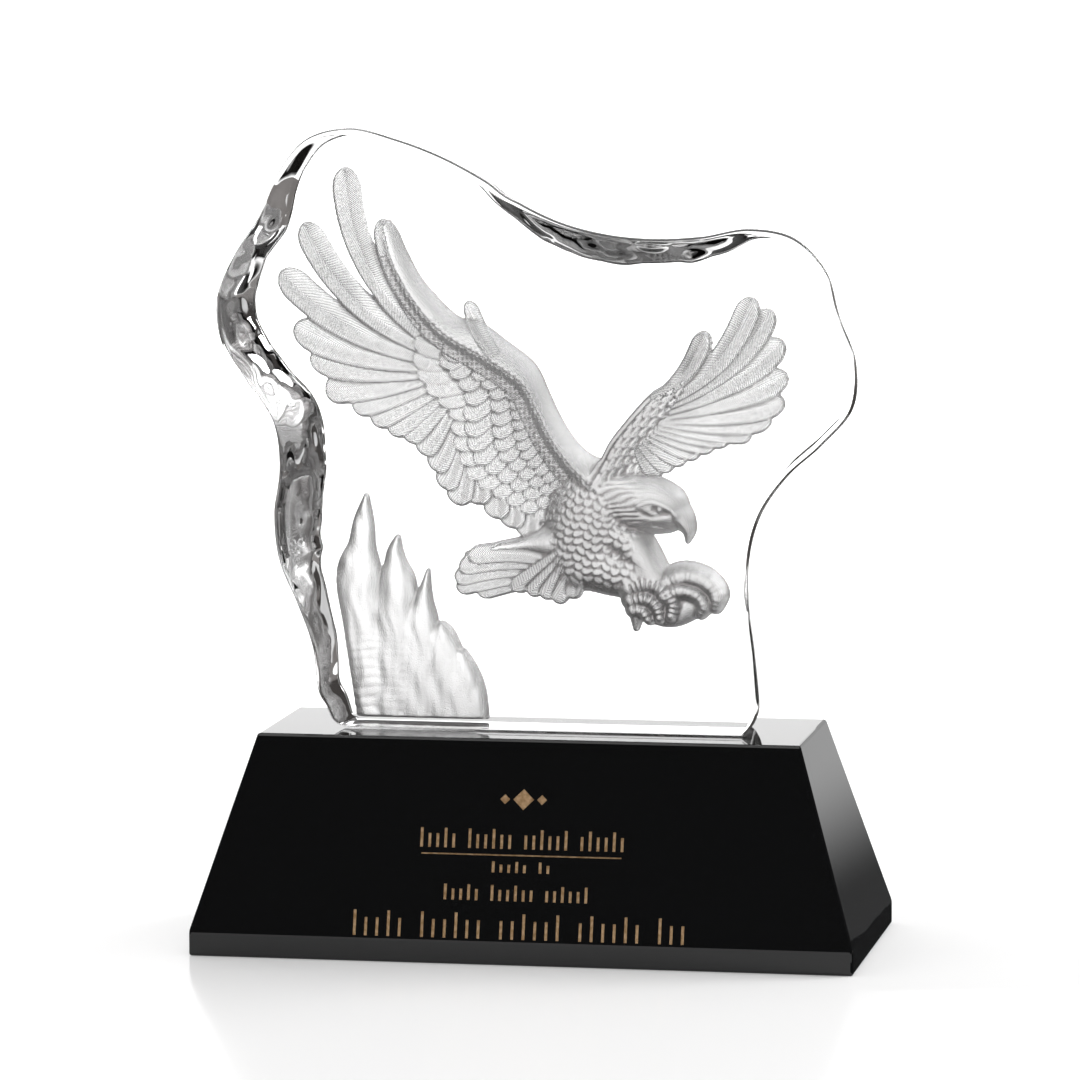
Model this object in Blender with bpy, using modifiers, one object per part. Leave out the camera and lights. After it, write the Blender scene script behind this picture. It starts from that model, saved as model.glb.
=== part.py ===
"""Crystal award: a wavy clear block with an eagle and rising ice in its back, on a black base.

The front faces -Y. The origin is the middle of the base's underside, and lengths are in metres.
"""
import math

import bmesh
import bpy
import numpy as np

# Base: a flared block of black glass with an upright band round its foot
BASE_HEIGHT = 0.0581
BAND_HEIGHT = 0.0066
SEAT_MARGIN_SIDE = 0.0190       # base top left bare at each side of the block's foot
SEAT_MARGIN_FRONT = 0.0113      # base top left bare in front of the block and behind it
FLARE_SIDE = 0.0160             # how far each side of the base runs out below its top
FLARE_FRONT = 0.01435           # the same at its front and back
BASE_BEVEL = 0.0007
SEAT_GAP = 0.0003               # film of glue between the base and the block

# Block: one wavy slab of clear crystal
BLOCK_HEIGHT = 0.1606
BLOCK_THICKNESS = 0.0250
FRONT_ROUNDING = 0.0018         # rounded edge round the polished front
FRONT_ROWS = 3                  # rows of faces across that rounding
WALL_ROWS = 5
DRAFT = 0.0024                  # how much further in the edge stands at the back than in front
CHIP_INSET = 0.0072             # the same, added where the edge is chipped away the most
CHIP_START = 0.0030             # depth behind the front where the chipping begins at the left
DIP_START = 0.0110              # the same in the dip of the top
DIP_FROM = 0.43                 # share of the outline's run that parts the left from the dip
DENT_SIZE = 0.0085              # half the width of the widest dents in the chipped stretches
DENT_DEPTH = 0.0012
FOOT_CURL = 8.0                 # drawn height over which the edge turns upright to its foot
OUTLINE_STEPS = 120

# Carving moulded into the back
CARVING_DEPTH = 0.0117          # at its deepest, in the body and the head
CARVING_CELL = 0.00055
CARVING_FACES = 5600            # triangles kept in the tool that presses the carving
TOOL_OVERRUN = 0.0012           # how far that tool stands out behind the back
EDGE_BLUR = 0.28                # drawn width over which the carving's outline is rounded off

# Inscription place: rows of plain strokes
STROKE_DEPTH = 0.0003
STROKE_WIDTH = 0.0008
ROW_HEIGHTS = (0.0052, 0.0030, 0.0042, 0.0068)
ROW_WIDTHS = (0.0560, 0.0168, 0.0420, 0.0910)
ROW_STROKES = (26, 8, 20, 30)
ROW_LEADING = 0.0033            # bare height between rows
ROWS_TOP = 0.0295               # top of the first row above the base's foot
RULE_HEIGHT = 0.0004
ORNAMENT_SIZE = 0.0080

# The block and its carving are drawn in millimetres, x to the right and z up as seen from
# the front, with the foot of the block at DRAWN_FOOT. The drawing is scaled to the block.
DRAWN_FOOT = 58.4
DRAWN_HEIGHT = 160.4
SCALE = BLOCK_HEIGHT / DRAWN_HEIGHT   # metres for each drawn millimetre
FOOT_LEFT = -52.4
FOOT_RIGHT = 55.6

OUTLINE = [
    (-52.4, 58.4), (-55.4, 60.3), (-57.3, 64.1), (-59.5, 68.3), (-60.9, 79.8), (-65.0, 91.4),
    (-69.8, 102.9), (-71.1, 115.3), (-69.5, 127.7), (-71.0, 140.0), (-77.9, 150.4),
    (-84.8, 160.8), (-86.1, 173.1), (-81.3, 184.6), (-74.4, 195.0), (-69.2, 206.4),
    (-61.1, 215.8), (-49.1, 218.8), (-36.9, 216.0), (-25.1, 211.7), (-14.0, 206.0),
    (-3.4, 199.3), (8.0, 194.1), (20.2, 191.1), (32.6, 190.1), (45.1, 190.8), (57.5, 192.9),
    (69.6, 190.6), (78.2, 181.7), (81.8, 169.7), (86.1, 157.9), (85.4, 145.7), (77.5, 136.1),
    (68.2, 127.6), (61.1, 117.4), (57.8, 105.4), (57.7, 92.9), (59.2, 80.4), (60.4, 67.4),
    (59.6, 63.0), (58.0, 60.4), (55.6, 58.4),
]
# The chipped left side and dip: share of the outline's run from the foot, share of the inset
CHIP_FORM = [
    (0.0, 0.0), (0.03, 0.05), (0.06, 0.17), (0.09, 0.51), (0.105, 0.9), (0.18, 1.0),
    (0.2, 0.8), (0.25, 0.72), (0.28, 0.64), (0.3, 0.44), (0.32, 0.5), (0.336, 0.28),
    (0.355, 0.1), (0.395, 0.0), (0.46, 0.0), (0.48, 0.2), (0.5, 0.42), (0.53, 0.83),
    (0.57, 0.83), (0.61, 0.65), (0.63, 0.42), (0.65, 0.17), (0.68, 0.0), (1.0, 0.0),
]
DENTS = ((0.03, 0.37, 24, 3), (0.48, 0.66, 10, 8))   # start and end of a stretch, count, seed


def mix(a, b, share):
    """Value at a share of the way from a to b."""
    return a + (b - a) * share


def ease(value):
    """Smooth step from 0 to 1."""
    value = np.clip(value, 0, 1)
    return value * value * (3 - 2 * value)


def curve(points, count):
    """Evenly counted points on a smooth curve through the given ones."""
    p = np.asarray(points, float)
    p = np.vstack([2 * p[0] - p[1], p, 2 * p[-1] - p[-2]])
    t = np.linspace(0, len(p) - 3, count)
    i = np.minimum(t.astype(int), len(p) - 4)
    f = (t - i)[:, None]
    a, b, c, d = p[i], p[i + 1], p[i + 2], p[i + 3]
    return 0.5 * (2 * b + (c - a) * f + (2 * a - 5 * b + 4 * c - d) * f ** 2
                  + (3 * b - a - 3 * c + d) * f ** 3)


def runs(line):
    """Distance along a line at each of its points."""
    steps = np.hypot(*np.diff(line, axis=0).T)
    return np.concatenate([[0], np.cumsum(steps)])


def spaced(line, shares):
    """Points at shares of the length of a line."""
    run = runs(line)
    run = run / run[-1]
    return np.stack([np.interp(shares, run, line[:, 0]), np.interp(shares, run, line[:, 1])], 1)


def reach(line, x, z):
    """Distance of each place from a line, its run along it, its side, and the line's length."""
    best = np.full(x.shape, 1e9)
    run = np.zeros(x.shape)
    side = np.zeros(x.shape)
    at = 0.0
    for (ax, az), (bx, bz) in zip(line[:-1], line[1:]):
        lx, lz = bx - ax, bz - az
        size = math.hypot(lx, lz)
        f = np.clip(((x - ax) * lx + (z - az) * lz) / size ** 2, 0, 1)
        dx, dz = x - ax - f * lx, z - az - f * lz
        away = dx * dx + dz * dz
        near = away < best
        best = np.where(near, away, best)
        run = np.where(near, at + f * size, run)
        side = np.where(near, lx * dz - lz * dx, side)
        at += size
    return np.sqrt(best), run, np.sign(side), at


def within(outline, x, z):
    """True at the places inside a closed outline."""
    hit = np.zeros(x.shape, bool)
    for (ax, az), (bx, bz) in zip(outline, np.roll(outline, -1, 0)):
        if az != bz:
            hit ^= ((az > z) != (bz > z)) & (x < (bx - ax) * (z - az) / (bz - az) + ax)
    return hit


def round_max(a, b, blend):
    """The higher of two forms, with the crease between them filled."""
    e = np.clip(0.5 + 0.5 * (b - a) / blend, 0, 1)
    return mix(a, b, e) + blend * e * (1 - e)


def limb(x, z, line, half, height, power=0.5):
    """A round-backed form along a line, from half widths and heights at its points."""
    count = 10 * len(line)
    path = curve(line, count)
    sizes = curve(np.stack([half, height], 1), count)
    out = np.full(x.shape, -6.0)
    for (px, pz), (wide, high) in zip(path, sizes):
        q = 1 - ((x - px) ** 2 + (z - pz) ** 2) / wide ** 2
        out = np.maximum(out, np.where(q > 0, high * np.abs(q) ** power, -6 * np.minimum(-q, 1)))
    return out


def scales(a, b, pitch, wide):
    """Overlapping rounded scales: a runs from the head down, b across. Highest at free edges."""
    out = np.zeros(a.shape)
    done = np.zeros(a.shape, bool)
    first = np.floor(a / pitch)
    for step in (-2, -1, 0, 1):
        number = first + step
        across = b / wide + 0.5 * (number % 2)
        v = (across - np.floor(across) - 0.5) * 2
        tip = (number + 0.62) * pitch + 0.75 * pitch * np.sqrt(np.clip(1 - v * v, 0, 1))
        left = (tip - a) / pitch
        high = 1 - np.clip(left / 1.6, 0, 1) - 0.9 * ease(1 - left / 0.16)
        high -= 0.5 * ease((np.abs(v) - 0.75) / 0.25)
        hit = ~done & (a < tip)
        out = np.where(hit, high, out)
        done |= hit
    return out


class Carving:
    """Heights of the carving over a grid of places; nan where the back stays plain."""

    def __init__(self, x, z, high=None):
        self.x, self.z = x, z
        self.gx, self.gz = np.meshgrid(x, z)
        self.high = np.full(self.gx.shape, np.nan) if high is None else high

    def part(self, left, right, low, top):
        """A smaller stretch of the same carving."""
        i = slice(*np.searchsorted(self.x, [left, right]))
        j = slice(*np.searchsorted(self.z, [low, top]))
        return Carving(self.x[i], self.z[j], self.high[j, i])

    def over(self, line, margin):
        """The part of the grid round a line."""
        low, top = line.min(0) - margin, line.max(0) + margin
        i0, i1 = np.searchsorted(self.x, [low[0], top[0]])
        j0, j1 = np.searchsorted(self.z, [low[1], top[1]])
        return slice(j0, j1), slice(i0, i1)

    def put(self, form, blend):
        """Adds a rounded form, blended into what is there."""
        bare = np.isnan(self.high)
        joined = round_max(np.where(bare, form, self.high), form, blend)
        self.high[...] = np.where(form > 0, np.where(bare, form, joined), self.high)

    def feather(self, bed, root, tip, bend, half, step, blunt=1.5, grow=0.75, quill=0.3,
                lift=0.3, flip=1, fade=0.0):
        """Lays a feather: a bent blade, tucked in at one side and free at the other."""
        root, tip = np.asarray(root, float), np.asarray(tip, float)
        chord = tip - root
        middle = (root + tip) / 2 + 2 * bend * np.array([-chord[1], chord[0]])
        s = np.linspace(0, 1, 18)[:, None]
        line = (1 - s) ** 2 * root + 2 * s * (1 - s) * middle + s ** 2 * tip
        part = self.over(line, half * 1.25)
        x, z = self.gx[part], self.gz[part]
        away, run, side, length = reach(line, x, z)
        first, last = line[1] - line[0], line[-1] - line[-2]
        past_tip = (x - tip[0]) * last[0] + (z - tip[1]) * last[1] > 0
        past_root = (x - root[0]) * first[0] + (z - root[1]) * first[1] < 0
        s = run / length
        head = min(0.85, blunt * half / length)
        body_width = mix(grow, 1, ease(s / (1 - head)))
        head_width = np.sqrt(np.clip(1 - ((s - 1 + head) / head) ** 2, 0, 1))
        width = half * np.where(s < 1 - head, body_width, head_width)
        u = side * flip * away / np.maximum(width, 1e-6)
        vane = step * (0.5 + 0.5 * u) - 0.5 * step * ease((np.abs(u) - 0.72) / 0.28) * (u > 0)
        rib = quill * np.exp(-(away / 0.3) ** 2) * ease((1 - s) * 6)
        form = bed[part] + vane + rib + lift * ease(s)
        form = form * (1 - fade * ease((s - 0.3) / 0.3) * ease((0.35 - u) / 1.25))
        here = (np.abs(u) <= 1) & ~past_tip & ~past_root
        view = self.high[part]
        view[here] = form[here]

    def row(self, bed, roots, tips, count, half, **shape):
        """A row of small feathers, each lying over the next."""
        shares = (np.arange(count) + 0.5) / count
        pairs = list(zip(spaced(roots, shares), spaced(tips, shares)))
        for root, tip in reversed(pairs):
            self.feather(bed, root, tip, 0.03, half, 0.9, **shape)


def carve_left_wing(c):
    """The wide wing: long flight feathers, five rows of coverts and a steep leading edge."""
    x, z = c.gx, c.gz
    ridge = curve([(-43.4, 191.5), (-40.8, 182.5), (-36.8, 175), (-31.8, 168.3), (-25.5, 162.6),
                   (-17, 158), (-9.2, 153.4), (-4.4, 149.6), (-1.2, 143.5), (2, 137), (6, 131),
                   (11, 125.5), (16, 121)], 70)
    outer = curve([(-41.9, 193.8), (-39.4, 190.6), (-37.3, 185.8), (-33.3, 178.3),
                   (-28.3, 172.5), (-22.9, 167.7), (-16.7, 166.2), (-10, 161.4), (-3.3, 156.4),
                   (-0.6, 152.6), (1.4, 148), (4.6, 141.2), (8.6, 135), (12.4, 131.4),
                   (16, 130), (24, 128)], 70)
    trail = curve([(-52.9, 207.5), (-65.2, 192.3), (-71.5, 179), (-67.5, 165), (-63.8, 156.7),
                   (-59.6, 148.6), (-51, 144), (-43, 137), (-38, 135), (-33.2, 130.6),
                   (-27.5, 120.5), (-24, 117.6), (-18.3, 117.6), (-12, 113.2), (-6, 109.4),
                   (1, 104)], 60)
    to_ridge, run, side, length = reach(ridge, x, z)
    to_outer = reach(outer, x, z)[0]
    to_trail = reach(trail, x, z)[0]
    along = run / length
    crest = np.interp(along, [0, 0.12, 0.3, 0.6, 1], [3.6, 5.6, 7.6, 9.4, 10.5])
    bed = mix(0.66 * crest, 1.6, (to_ridge / (to_ridge + to_trail)) ** 0.7)
    flight = [
        ((-27.5, 163), (-43.6, 193.6), 0.10, 3.1), ((-30, 162), (-53.6, 207.4), 0.13, 4.0),
        ((-31, 160), (-65.0, 192.6), 0.11, 4.0), ((-32, 158), (-71.6, 179.6), 0.09, 4.3),
        ((-32.5, 156), (-68.2, 164.8), 0.06, 4.7), ((-33, 154), (-63.9, 156.6), 0.05, 4.4),
        ((-33, 152), (-59.9, 147.9), 0.04, 4.2), ((-32, 150), (-52.6, 143.6), 0.03, 4.0),
        ((-30, 148.6), (-47.4, 139.6), 0.02, 3.8), ((-28.5, 147), (-42.6, 136.6), 0.02, 3.6),
        ((-27, 145), (-38.2, 134.6), 0.02, 3.5), ((-26, 142), (-33.9, 130.8), 0.02, 3.5),
        ((-24.5, 138), (-30.3, 126.2), 0.03, 3.5), ((-23, 134), (-27.6, 121.3), 0.03, 3.5),
        ((-21.5, 131), (-24.0, 117.0), 0.04, 3.7), ((-18.5, 128), (-18.4, 117.1), 0.04, 3.8),
        ((-14, 125.5), (-13.4, 113.4), 0.06, 3.7), ((-9.5, 122.5), (-9.2, 110.9), 0.06, 3.7),
        ((-4.5, 119.5), (-5.2, 108.4), 0.06, 3.6),
    ]
    for root, tip, bend, half in reversed(flight):
        c.feather(bed, root, tip, bend, half, 1.5, blunt=1.5 if tip[1] > 155 else 0.9,
                  fade=0.95 * ease((tip[1] - 172) / 12))
    coverts = [
        ([(-31.5, 167.5), (-34.6, 161.5), (-35, 156), (-32.3, 149.4), (-28.2, 145.6),
          (-25.3, 141.5), (-24.8, 135.5), (-22.6, 129), (-20, 124.2), (-13, 119.8),
          (-6.5, 116), (0, 112.5)], 7.5, 16, 3.1),
        ([(-26.5, 161.5), (-27.8, 155.2), (-23.6, 150.6), (-21, 145.6), (-21.4, 140.4),
          (-20.6, 134.4), (-18.8, 129), (-12.5, 124.3), (-6.5, 120.3), (0.5, 116)],
         7.5, 14, 2.9),
        ([(-20.5, 156.8), (-18.8, 151.4), (-14.6, 147.6), (-13.8, 141), (-13.3, 135.4),
          (-11.8, 130), (-6.5, 125), (-1, 121), (4, 118)], 7.0, 14, 2.6),
        ([(-14, 152.2), (-10, 147), (-8.2, 141), (-7.6, 135.2), (-5.6, 130), (-1.2, 125.2),
          (3.4, 121.5)], 6.0, 13, 2.1),
        ([(-7.5, 147.2), (-4.4, 141.8), (-2.4, 136.5), (-0.2, 131.5), (3.2, 127), (7, 123)],
         4.2, 13, 1.7),
    ]
    under = within(np.vstack([ridge, curve(coverts[0][0], 40)[::-1]]), x, z)
    c.high[...] = np.where(under & np.isnan(c.high), bed, c.high)
    for tips, length_of_feather, count, half in coverts:
        line = curve(tips, 40)
        ahead = np.gradient(line, axis=0)
        ahead /= np.hypot(*ahead.T)[:, None]
        roots = line + np.stack([-ahead[:, 1], ahead[:, 0]], 1) * length_of_feather
        c.row(bed + 0.25, roots, line, count, half, blunt=1.25, grow=0.85, quill=0.12, lift=0.6)
    fall = np.interp(along, [0, 0.25, 1], [1.2, 2.6, 3.6])
    bank = mix(crest, bed + 0.3, ease(to_ridge / fall))
    bank = bank + 1.2 * (scales(run * 0.7 - to_ridge, run * 0.7 + to_ridge, 1.6, 1.8) - 0.4)
    on_bank = (side < 0) & (to_ridge < fall) & (along > 0.01) & (along < 0.99)
    c.high[...] = np.where(on_bank & ~np.isnan(c.high), np.fmax(c.high, bank), c.high)
    wall = within(np.vstack([ridge, outer[::-1]]), x, z)
    rise = np.clip(to_outer / (to_outer + to_ridge), 0, 1)
    wall_high = crest * np.sin(0.5 * np.pi * rise) ** 0.85
    c.high[...] = np.where(wall, np.fmax(c.high, wall_high), c.high)
    ruff = scales(2.2 - to_ridge * np.sign(side + 0.5), run, 1.7, 2.0) - 0.3
    on_ruff = (along > 0.3) & (along < 0.97) & (to_ridge < 2.2) & ((side > 0) | (to_ridge < 0.8))
    ruffled = c.high + 1.1 * ruff * (1 - ease((to_ridge - 1.4) / 0.8))
    c.high[...] = np.where(on_ruff & ~np.isnan(c.high), ruffled, c.high)
    thumb_bed = np.nan_to_num(c.high) * 0.85 + 0.6
    c.feather(thumb_bed, (-12.5, 157.5), (-20.6, 171.9), 0.05, 2.2, 0.7, blunt=1.6, lift=0.6)


def carve_right_wing(c):
    """The far wing: a scaled arm with its feathers fanned out from the wrist."""
    x, z = c.gx, c.gz
    lead = curve([(12, 124), (15.5, 130), (18.0, 134.8), (20.8, 138.5), (25, 143.5),
                  (29.6, 148.2), (35, 151.2), (39.0, 155), (41.2, 159.4), (43.4, 164.0)], 60)
    trail = curve([(22, 119), (31.2, 126), (35, 128.3), (39.2, 131.2), (45, 134.4), (50, 137),
                   (56, 138.2), (61.7, 141.8), (64.6, 147), (64.8, 153), (63.6, 160),
                   (61.8, 168.5), (55.9, 173.4)], 60)
    to_lead, run, _, length = reach(lead, x, z)
    to_trail = reach(trail, x, z)[0]
    crest = np.interp(run / length, [0, 0.3, 0.7, 1], [10, 8.6, 6.6, 3.6])
    bed = mix(crest, 1.5, (to_lead / (to_lead + to_trail)) ** 1.1)
    fan = curve([(30, 146), (33.5, 144.5), (34, 142.6), (31.5, 140), (26, 134)], 40)
    arm = within(np.vstack([lead, curve([(40, 155), (38.5, 150), (35.5, 145), (33, 140.5),
                                         (30, 135.5), (29, 131), (28, 124), (20, 119)], 30)]),
                 x, z)
    tips = [((43.7, 164.4), 0.10, 2.9), ((56.2, 173.6), 0.12, 3.5), ((61.2, 170.4), 0.10, 3.5),
            ((64.4, 162.2), 0.07, 4.0), ((65.6, 153.2), 0.05, 3.8), ((64.9, 146.2), 0.05, 3.6),
            ((61.4, 141.4), 0.05, 3.4), ((56.2, 137.8), 0.05, 3.2), ((50.4, 136.4), 0.05, 3.2),
            ((46.2, 134.2), 0.05, 3.0), ((42.4, 132.0), 0.05, 2.8), ((38.6, 129.8), 0.05, 2.7),
            ((35.0, 127.6), 0.05, 2.7), ((31.6, 125.6), 0.05, 2.7)]
    roots = spaced(fan, np.linspace(0, 1, len(tips)))
    c.high[...] = np.where(arm, bed, c.high)
    for root, (tip, bend, half) in reversed(list(zip(roots, tips))):
        c.feather(bed, root, tip, -bend, half, 1.3, blunt=1.5 if tip[1] > 140 else 1.0,
                  grow=0.6, flip=-1, fade=0.6 * ease((tip[1] - 160) / 8))
    front = crest * np.sin(0.5 * np.pi * np.clip(to_lead / 2.2, 0, 1)) ** 0.8
    form = mix(front, bed, ease((to_lead - 2.0) / 6.0)) + 0.4
    small = scales(60 - run * 0.55 - to_lead * 0.9, to_lead - run * 0.35, 2.3, 2.3) - 0.4
    form = form + 1.1 * small * ease((to_lead - 0.8) / 1.2)
    c.high[...] = np.where(arm, np.fmax(c.high, form), c.high)


def carve_tail(c):
    """The tail: five long feathers and a fan of shorter ones below the body."""
    x, z = c.gx, c.gz
    bed = np.interp(x, [-26, -12, 2, 12], [2.0, 3.4, 6.0, 8.0])
    long_tips = [(-20.6, 103.2), (-23.4, 100.2), (-24.7, 97.2), (-24.2, 94.4), (-18.5, 93.4)]
    for place, tip in reversed(list(enumerate(long_tips))):
        root = (1.0 + 0.2 * place, 103.2 - 1.2 * place)
        c.feather(bed, root, tip, 0.01 * place - 0.06, 2.6, 1.2, blunt=1.3, grow=0.9)
    c.put(limb(x, z, [(-21, 103.6), (-13, 105.6), (-5, 106.8), (2, 107.5)],
               [1.0, 1.6, 2.4, 5.0], [2.8, 4.0, 5.6, 7.5]), 0.6)
    bed = np.interp(z, [90, 97, 104], [2.4, 5.2, 7.6])
    fan_tips = [(-8.5, 94.4), (-4.4, 93.2), (-0.6, 92.2), (3.2, 90.9), (7.4, 92.2)]
    for place, tip in enumerate(fan_tips):
        c.feather(bed, (6 + place, 105 - 0.5 * place), tip, 0.0, 2.35, 1.1, blunt=1.0, grow=0.8)


def carve_body(c):
    """The scaled body with its thighs, the streaked neck, and the head with its hooked beak."""
    x, z = c.gx, c.gz
    torso = limb(x, z, [(14, 120.5), (13, 116), (11.5, 110), (10.5, 103)],
                 [9.6, 12.0, 11.5, 8.5], [10.6, 11.6, 11.0, 8.8])
    thigh = limb(x, z, [(10, 104), (17, 101.5), (24, 99.5), (29, 97)],
                 [8.5, 8.0, 7.2, 6.0], [8.6, 9.4, 9.4, 8.6])
    haunch = limb(x, z, [(20, 110), (24, 107), (27, 103), (30, 98)],
                  [6.0, 6.0, 5.5, 5.0], [9.8, 10.2, 10.0, 9.2])
    form = round_max(round_max(torso, thigh, 1.6), haunch, 1.4)
    spine = curve([(28, 132), (17, 127), (12, 118), (9, 108), (6, 98), (4, 92)], 40)
    away, run, side, _ = reach(spine, x, z)
    smooth_thigh = ease((x - 23) / 4) * ease((112 - z) / 3)
    scaled = ease((form - 3) / 2) * (1 - smooth_thigh)
    across = away * side
    plumes = scales(run + 0.4 * np.sin(across * 0.9), across + 0.6 * np.sin(run * 0.8), 2.2, 2.7)
    c.put(form + 1.0 * (plumes - 0.45) * scaled, 2.4)
    skull = limb(x, z, [(17, 121), (23, 118.6), (29, 117.9), (32.4, 117.2)],
                 [8.0, 8.3, 7.9, 7.0], [10.4, 11.0, 11.2, 10.6])
    beak = limb(x, z, [(33.5, 116.5), (37.0, 114.8), (39.1, 111.6), (38.8, 108.2)],
                [5.6, 3.7, 2.1, 0.7], [9.8, 8.8, 7.0, 4.0], power=0.6)
    head = round_max(skull, beak, 1.2)
    away, run, side, length = reach(curve([(12, 112), (18, 115), (24, 116.6), (30, 117.2),
                                           (37, 115)], 40), x, z)
    across = away * side
    hair = np.abs(np.sin(across * 2 + 0.9 * np.sin(run * 0.55 + across * 0.8))) ** 0.8
    behind_eye = ease((length - 8.5 - run) / 4) * ease((head - 2.5) / 2)
    c.put(head + 0.6 * (hair - 0.5) * behind_eye, 0.7)
    lines = [
        ([(27.5, 116.2), (30, 115.4), (32.4, 115.6), (34.6, 116.2)], 0.7, -0.5),
        ([(26.5, 118.4), (29.5, 119.4), (33.2, 118.4), (36.6, 115.8)], 0.8, 0.7),
        ([(30.6, 117.2), (33.8, 116.4)], 0.8, -0.75),
        ([(30.2, 113.0), (33.4, 112.2), (36.2, 110.8), (38.0, 109.2)], 0.45, -0.8),
        ([(35.8, 113.6), (36.8, 113.0)], 0.35, -0.5),
        ([(35.2, 116.8), (35.4, 113.8), (34.8, 112.2)], 0.35, -0.3),
    ]
    for points, wide, deep in lines:
        away = reach(curve(points, 20), x, z)[0]
        c.high[...] = c.high + deep * np.exp(-(away / wide) ** 2)
    eye = np.hypot(x - 32.1, z - 117.0)
    c.high[...] = c.high + 0.85 * np.exp(-(eye / 0.65) ** 4)


def carve_feet(c):
    """The clenched feet: ringed toes curled round, with one hind claw hanging."""
    x, z = c.gx, c.gz
    c.put(limb(x, z, [(28, 93), (34, 91), (41, 93)], [6.0, 6.0, 5.0], [6.2, 5.6, 6.0]), 0.5)
    toes = [
        ([(33, 97), (38, 99.2), (43.5, 98), (46.8, 94.6), (46.4, 91)], [4.0, 3.8, 3.6, 3.2, 2.2],
         [8.6, 9.2, 9.0, 8.2, 6.8], 0.18),
        ([(33, 94), (37.5, 95.4), (41.6, 94.4), (43.6, 91.6), (42.4, 89)],
         [3.4, 3.2, 3.0, 2.6, 1.8], [9.4, 9.8, 9.4, 8.4, 7.0], 0.25),
        ([(23.5, 96), (28, 97.2), (32.4, 95.6), (35.2, 92), (34.6, 88.4)],
         [4.0, 3.8, 3.4, 2.9, 2.0], [9.0, 9.8, 9.8, 9.0, 7.4], 0.45),
        ([(24, 92.6), (27.8, 93.2), (30.8, 91.2), (31.6, 88.0)], [3.4, 3.2, 2.8, 2.0],
         [8.8, 9.4, 9.0, 7.6], 0.45),
        ([(24.5, 90), (27, 89.8), (28.6, 87.2)], [2.8, 2.6, 1.8], [8.4, 8.6, 7.2], 0.3),
    ]
    for points, half, high, ringed in toes:
        run = reach(curve(points, 30), x, z)[1]
        form = limb(x, z, points, half, high)
        rings = ringed * np.cos(2 * np.pi * run / 1.35) * ease((form - 2) / 2)
        c.put(form + rings, 0.5)
    c.put(limb(x, z, [(25.5, 92), (25.0, 88.5), (24.8, 84.6)], [3.0, 2.1, 0.9],
               [7.8, 6.6, 4.4]), 0.5)


def carve_ice(c):
    """Rising ice: flame-like spires that join below and fade out towards the left."""
    x, z = c.gx, c.gz
    spires = [
        ([(-48.8, 119.0), (-49.6, 112), (-50.2, 105), (-51.0, 97), (-50.0, 84), (-47, 56)],
         [0.8, 2.9, 4.0, 6.4, 5.6, 4.5], [2.8, 3.6, 4.2, 4.8, 5.0, 5.0]),
        ([(-40.2, 108.0), (-41.0, 104), (-40.8, 100), (-40.5, 94), (-41, 80), (-42, 56)],
         [0.8, 2.3, 3.5, 5.6, 6.6, 6.6], [3.0, 3.8, 4.4, 5.2, 5.6, 5.8]),
        ([(-31.9, 99.2), (-32.6, 95), (-33.4, 90), (-34.0, 84), (-34.5, 70), (-35, 56)],
         [0.6, 1.5, 3.0, 5.0, 6.2, 6.4], [2.6, 3.8, 4.8, 5.4, 6.0, 6.2]),
        ([(-28.2, 84.4), (-28.0, 80), (-27.0, 70), (-26, 56)],
         [1.2, 4.2, 6.6, 7.2], [4.0, 5.4, 6.2, 6.6]),
        ([(-22.6, 76.8), (-21.6, 72), (-21.2, 66), (-21.0, 56)],
         [1.4, 3.2, 5.0, 5.8], [4.0, 5.2, 6.0, 6.2]),
    ]
    form = np.full(x.shape, -6.0)
    for line, half, high in spires:
        form = round_max(form, limb(x, z, line, half, high, power=0.45), 0.8)
    flow = x + 0.9 * np.sin(z * 0.21 + 1.0) + 0.5 * np.sin(z * 0.47 + x * 0.2)
    ribs = 0.5 * np.sin(flow * 0.75) + 0.22 * np.sin(flow * 1.9 + z * 0.12)
    ribs += 0.2 * np.sin(x * 0.9 + z * 0.55)
    form = form + ribs * ease((form - 1.5) / 2)
    form = np.where(form > 0, form * mix(0.3, 1, ease((x + 60) / 7)), form)
    c.put(np.where(z > DRAWN_FOOT + 0.8, form, -9), 0.3)


def blur(field, reach_in_cells):
    """Softens a field by a bell-shaped brush."""
    taps = np.arange(-int(3 * reach_in_cells), int(3 * reach_in_cells) + 1)
    weights = np.exp(-0.5 * (taps / reach_in_cells) ** 2)
    weights /= weights.sum()
    for axis in (0, 1):
        field = sum(w * np.roll(field, t, axis) for t, w in zip(taps, weights))
    return field


def smooth_sides(high, cell):
    """Signed heights: the hollow's sides slope cleanly down to 0 along a smooth silhouette."""
    solid = ~np.isnan(high)
    grown = np.where(solid, high, 0.0)
    weight = solid.astype(float)
    for _ in range(6):
        total = np.zeros(high.shape)
        count = np.zeros(high.shape)
        for shift, axis in ((1, 0), (-1, 0), (1, 1), (-1, 1)):
            total += np.roll(grown * weight, shift, axis)
            count += np.roll(weight, shift, axis)
        fill = (weight == 0) & (count > 0)
        grown[fill] = total[fill] / count[fill]
        weight[fill] = 1
    cover = blur(solid.astype(float), EDGE_BLUR / cell)
    side = np.clip((cover - 0.5) / 0.45, 0, 1) ** 0.7
    outside = (cover - 0.5) * 2 * TOOL_OVERRUN / SCALE
    return np.where(cover > 0.5, np.maximum(grown, 0.12) * side, outside)


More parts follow.
